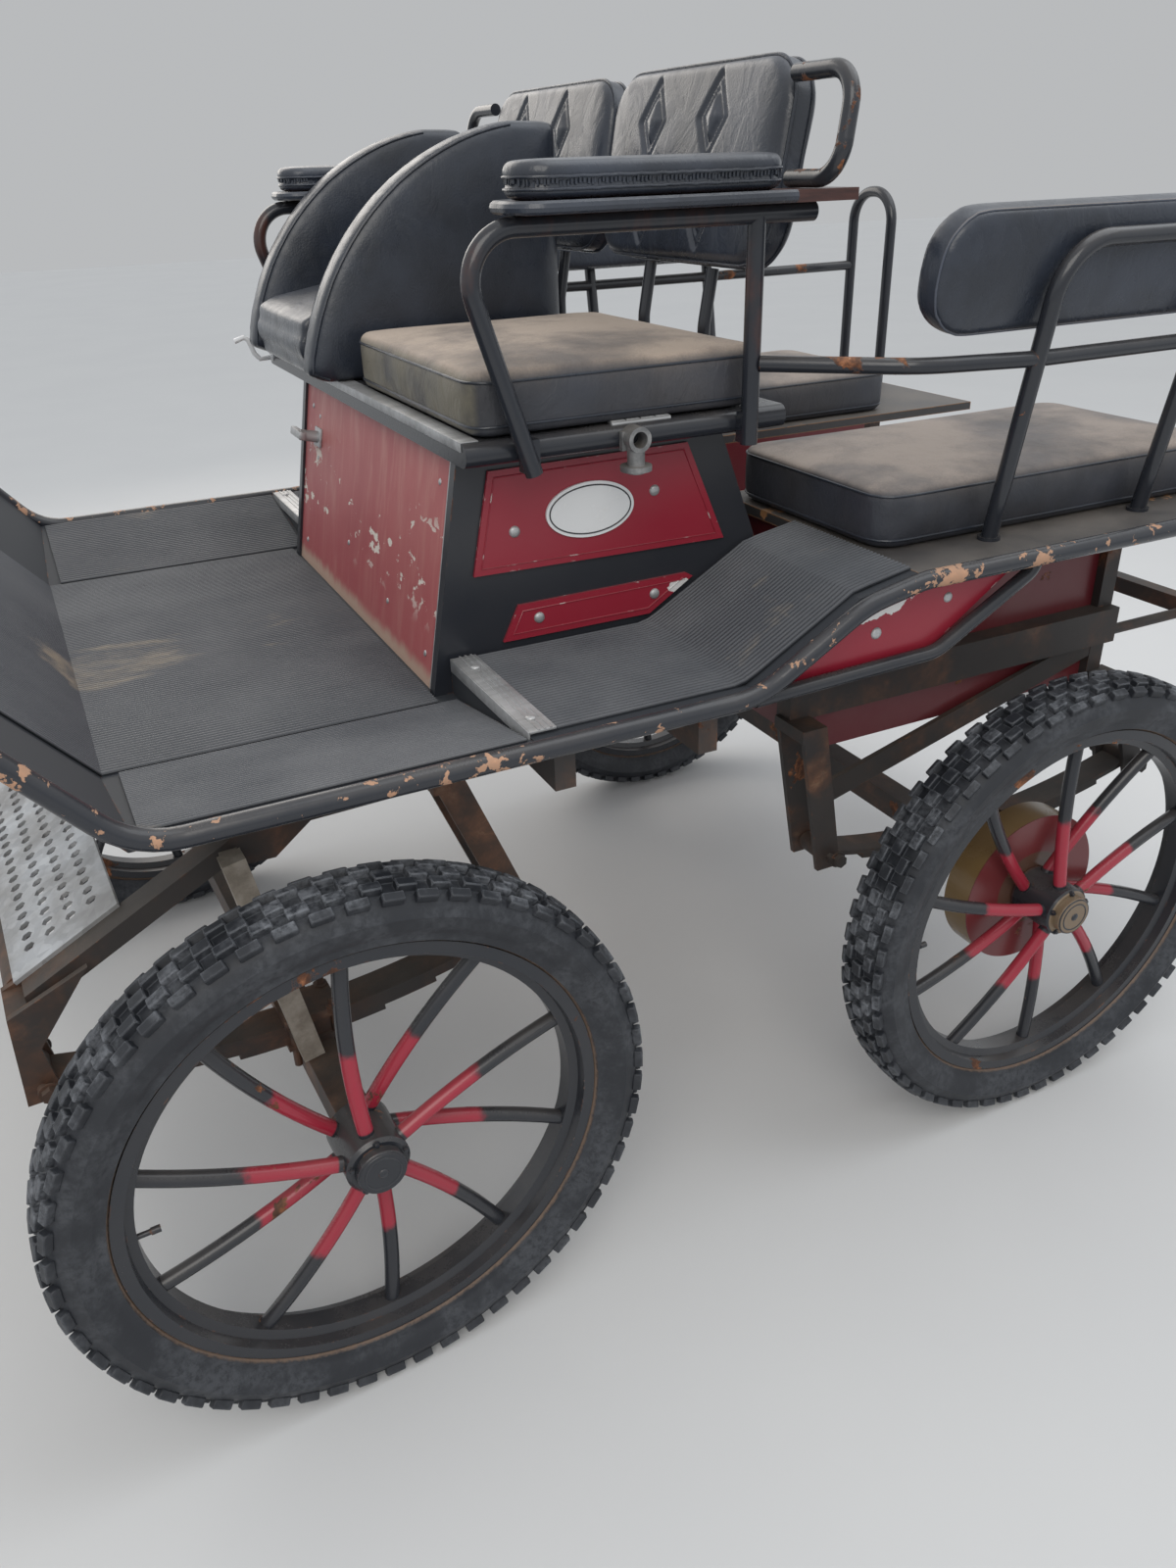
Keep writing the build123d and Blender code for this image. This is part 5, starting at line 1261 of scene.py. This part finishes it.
class CARRIAGE_OT_panels(bpy.types.Operator):
    """Rivets, oval border, plaque lines, hinge, strips, levers and screws of the seat box"""

    bl_idname = "carriage.panels"
    bl_label = "Panels"

    def execute(self, context):
        self.rivets()
        self.oval_border()
        self.strips()
        self.lever()
        self.plaque_lines()
        self.front_fittings()
        return {"FINISHED"}

    def rivets(self):
        """On the box's sides and on the gussets below them."""
        box_side, gusset = 0.342, 0.560
        bm = bmesh.new()
        for side in SIDES:
            for station, y, z, radius in (
                    (0.694, box_side, 0.930, 0.0070), (0.508, box_side, 0.953, 0.0070),
                    (0.668, box_side, 0.820, 0.0070), (0.508, box_side, 0.822, 0.0070),
                    (0.330, gusset, 0.806, 0.0075), (0.225, gusset, 0.832, 0.0065)):
                rivet(bm, at(station, side * y, z), LEFT * side, radius)
        show("panel_rivets", bm, "bright_metal")

    def oval_border(self):
        bm = bmesh.new()
        circle = arc((0, 0), 1, 0, 360, 72)[:-1]
        for side in SIDES:
            oval = [at(0.596 + 0.0535 * x, side * 0.3451, 0.943 + 0.0285 * z) for x, z in circle]
            tube(bm, oval, 0.0009, True, 2)
        show("oval_border", bm, "black_steel")

    def strips(self):
        """Edge strip along the front of the seat plate, and the hinge on its left."""
        low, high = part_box("seat_plate")
        bm = bmesh.new()
        nose, lap, thick, end = 0.009, 0.020, 0.0016, 0.012
        for back, foot in ((high.x, high.z - nose), (high.x - lap, high.z)):
            block(bm, (back, low.y + end, foot), (high.x + thick, high.y - end, high.z + thick), 0.0006)
        first, leaf, count = x_of(0.517), 0.0188, 4
        for index in range(count):
            start = first + index * leaf
            block(bm, (start, high.y - 0.024, high.z), (start + leaf - 0.0014, high.y - end, high.z + 0.004),
                  0.0012)
            rivet(bm, (start + leaf * 0.45, high.y - 0.018, high.z + 0.0036), UP, 0.0028, 0.4)
        ends = (first, first + count * leaf)
        tube(bm, [Vector((x, high.y - 0.011, high.z + 0.0005)) for x in ends], 0.0028)
        show("seat_plate_strips", bm, "bright_metal")

    def lever(self):
        """White bent bar at the far front corner of the seat plate."""
        low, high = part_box("seat_plate")
        corner = Vector((high.x, low.y, high.z))
        bends = ((-0.004, 0.020, -0.014), (0.020, 0.016, -0.016), (0.027, 0.013, -0.008),
                 (0.034, 0.010, 0.014), (0.040, 0.009, 0.018), (0.056, 0.008, 0.013))
        bm = bmesh.new()
        tube(bm, [corner + Vector(bend) for bend in bends], 0.0042)
        rivet(bm, corner + Vector((0.0, 0.020, -0.014)), (1, 0, 0), 0.0075)
        show("seat_lever", bm, "white_enamel")

    def plaque_lines(self):
        """Line pressed a little inside the edge of each crimson plaque."""
        plaques = (
            ((0.722, 1.003), (0.462, 1.005), (0.407, 0.879), (0.748, 0.884)),
            ((0.694, 0.840), (0.462, 0.842), (0.452, 0.836), (0.515, 0.797), (0.716, 0.797)),
        )
        inset, face = 0.008, 0.3421
        bm = bmesh.new()
        for corners in plaques:
            points = [Vector(corner) for corner in corners]
            line = []
            for last, point, following in zip(points[-1:] + points[:-1], points, points[1:] + points[:1]):
                before = (point - last).normalized()
                after = (following - point).normalized()
                inward = Vector((-before.y - after.y, before.x + after.x)) / (1 + before.dot(after))
                line.append(point + inward * inset)
            for side in SIDES:
                tube(bm, [at(station, side * face, z) for station, z in line], 0.0011, True, 2)
        show("plaque_lines", bm, "crimson_panel")

    def front_fittings(self):
        """Screws, the grey lever and the edge strip of the front panel, which leans back."""
        low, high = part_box("front_panel")
        tall = high.z - low.z
        slope = Vector((tall, 0, high.x - low.x)).normalized()
        foot, top = x_of(0.805), x_of(0.753)

        def on_panel(y, z, out=0.0):
            return Vector((foot + (top - foot) * (z - low.z) / tall, y, z)) + slope * out

        bm = bmesh.new()
        for y, z in ((0.285, 0.985), (-0.06, 0.83), (0.13, 0.80), (-0.285, 0.985), (-0.285, 0.78),
                     (0.285, 0.78)):
            rivet(bm, on_panel(y, z), slope, 0.004, 0.4)
        y, z = -0.245, 0.945
        stand = upright(on_panel(y, z), slope)
        block(bm, (-0.014, -0.016, 0), (0.014, 0.016, 0.004), 0.001, turn=stand)
        disc(bm, on_panel(y, z), slope, 0.009, 0.030, 16, 0.9)
        block(bm, (-0.006, -0.045, 0.024), (0.006, 0.012, 0.034), 0.002, turn=stand)
        for shift in (-0.03, 0.03):
            rivet(bm, on_panel(y, z + shift), slope, 0.0035, 0.4)
        end, thick = 0.002, 0.0022
        corners = [on_panel(0, level, out) for level, out in
                   ((low.z + end, 0), (high.z - end, 0), (high.z - end, thick), (low.z + end, thick))]
        strip = baked(prism([(spot.x, spot.z) for spot in corners], high.y - 0.007, high.y), "strip")
        bm.from_mesh(strip)
        bpy.data.meshes.remove(strip)
        show("front_panel_fittings", bm, "bright_metal")


class CARRIAGE_OT_trims(bpy.types.Operator):
    """Ridged aluminium nosings of the running boards"""

    bl_idname = "carriage.trims"
    bl_label = "Trims"

    def execute(self, context):
        bm = bmesh.new()
        start, top = x_of(0.785), 0.789
        for side in SIDES:
            y0, y1 = sorted((side * 0.345, side * 0.576))
            block(bm, (start - 0.030, y0, top - 0.001), (start + 0.002, y1, top + 0.0022), 0.0008)
            block(bm, (start, y0, top - 0.014), (start + 0.0025, y1, top + 0.0022), 0.0008)
            for ridge in (start - 0.024, start - 0.017, start - 0.010):
                block(bm, (ridge - 0.0012, y0, top + 0.002), (ridge + 0.0012, y1, top + 0.0032))
            for y in (0.385, 0.545):
                rivet(bm, (start - 0.014, side * y, top + 0.003), UP, 0.006, 0.45)
        show("running_board_nosings", bm, "bright_metal")
        return {"FINISHED"}


class CARRIAGE_OT_running_gear(bpy.types.Operator):
    """Clip bolts and eye bolts of the springs"""

    bl_idname = "carriage.running_gear"
    bl_label = "Running Gear"

    def execute(self, context):
        self.spring_bolts("rear", "carriage", at, 0.0, 0.438)
        self.spring_bolts("front", "fore_carriage", on_fore, KINGPIN_X - REAR_AXLE_X, 0.400)
        return {"FINISHED"}

    def spring_bolts(self, name, body, place, station, spring_y):
        bm = bmesh.new()
        side_way = (place(station, 1, 0) - place(station, 0, 0)).normalized()
        for side in SIDES:
            for dx in (-0.026, 0.026):
                for dy in (-0.024, 0.024):
                    point = place(station + dx, side * spring_y + dy, 0.402)
                    tube(bm, [point - UP * 0.062, point + UP * 0.020], 0.005)
                    disc(bm, point + UP * 0.0005, UP, 0.0095, 0.009, 6)
            for dx in (-0.293, 0.293):
                for outward in (-1, 1):
                    spot = place(station + dx, side * spring_y + outward * 0.0425, 0.4372)
                    disc(bm, spot, side_way * outward, 0.012, 0.002, 20)
                    disc(bm, spot, side_way * outward, 0.0095, 0.010, 6)
        show(name + "_spring_bolts", bm, "rusty_chassis", body)


OPERATORS = (CARRIAGE_OT_stage, CARRIAGE_OT_paint, CARRIAGE_OT_tyres, CARRIAGE_OT_wheel_trim,
             CARRIAGE_OT_mats, CARRIAGE_OT_seat_pads, CARRIAGE_OT_backrests, CARRIAGE_OT_arm_pads,
             CARRIAGE_OT_bench_pads, CARRIAGE_OT_panels, CARRIAGE_OT_trims, CARRIAGE_OT_running_gear)


class CARRIAGE_PT_looks(bpy.types.Panel):
    """Sidebar list of the carriage's steps, sizes and colours"""

    bl_label = "Carriage"
    bl_idname = "CARRIAGE_PT_looks"
    bl_space_type = "VIEW_3D"
    bl_region_type = "UI"
    bl_category = "Carriage"

    def draw(self, context):
        column = self.layout.column()
        for settings in (context.scene.carriage_sizes, context.scene.carriage_colours):
            for key in settings.__annotations__:
                column.prop(settings, key)
        for operator in OPERATORS:
            column.operator(operator.bl_idname)


CLASSES = (CarriageSizes, CarriageColours, *OPERATORS, CARRIAGE_PT_looks)


def register():
    for item in CLASSES:
        bpy.utils.register_class(item)
    bpy.types.Scene.carriage_sizes = PointerProperty(type=CarriageSizes)
    bpy.types.Scene.carriage_colours = PointerProperty(type=CarriageColours)


def unregister():
    del bpy.types.Scene.carriage_colours
    del bpy.types.Scene.carriage_sizes
    for item in reversed(CLASSES):
        bpy.utils.unregister_class(item)


def main():
    register()
    for operator in OPERATORS:
        group, name = operator.bl_idname.split(".")
        getattr(getattr(bpy.ops, group), name)()


if __name__ == "__main__":
    main()
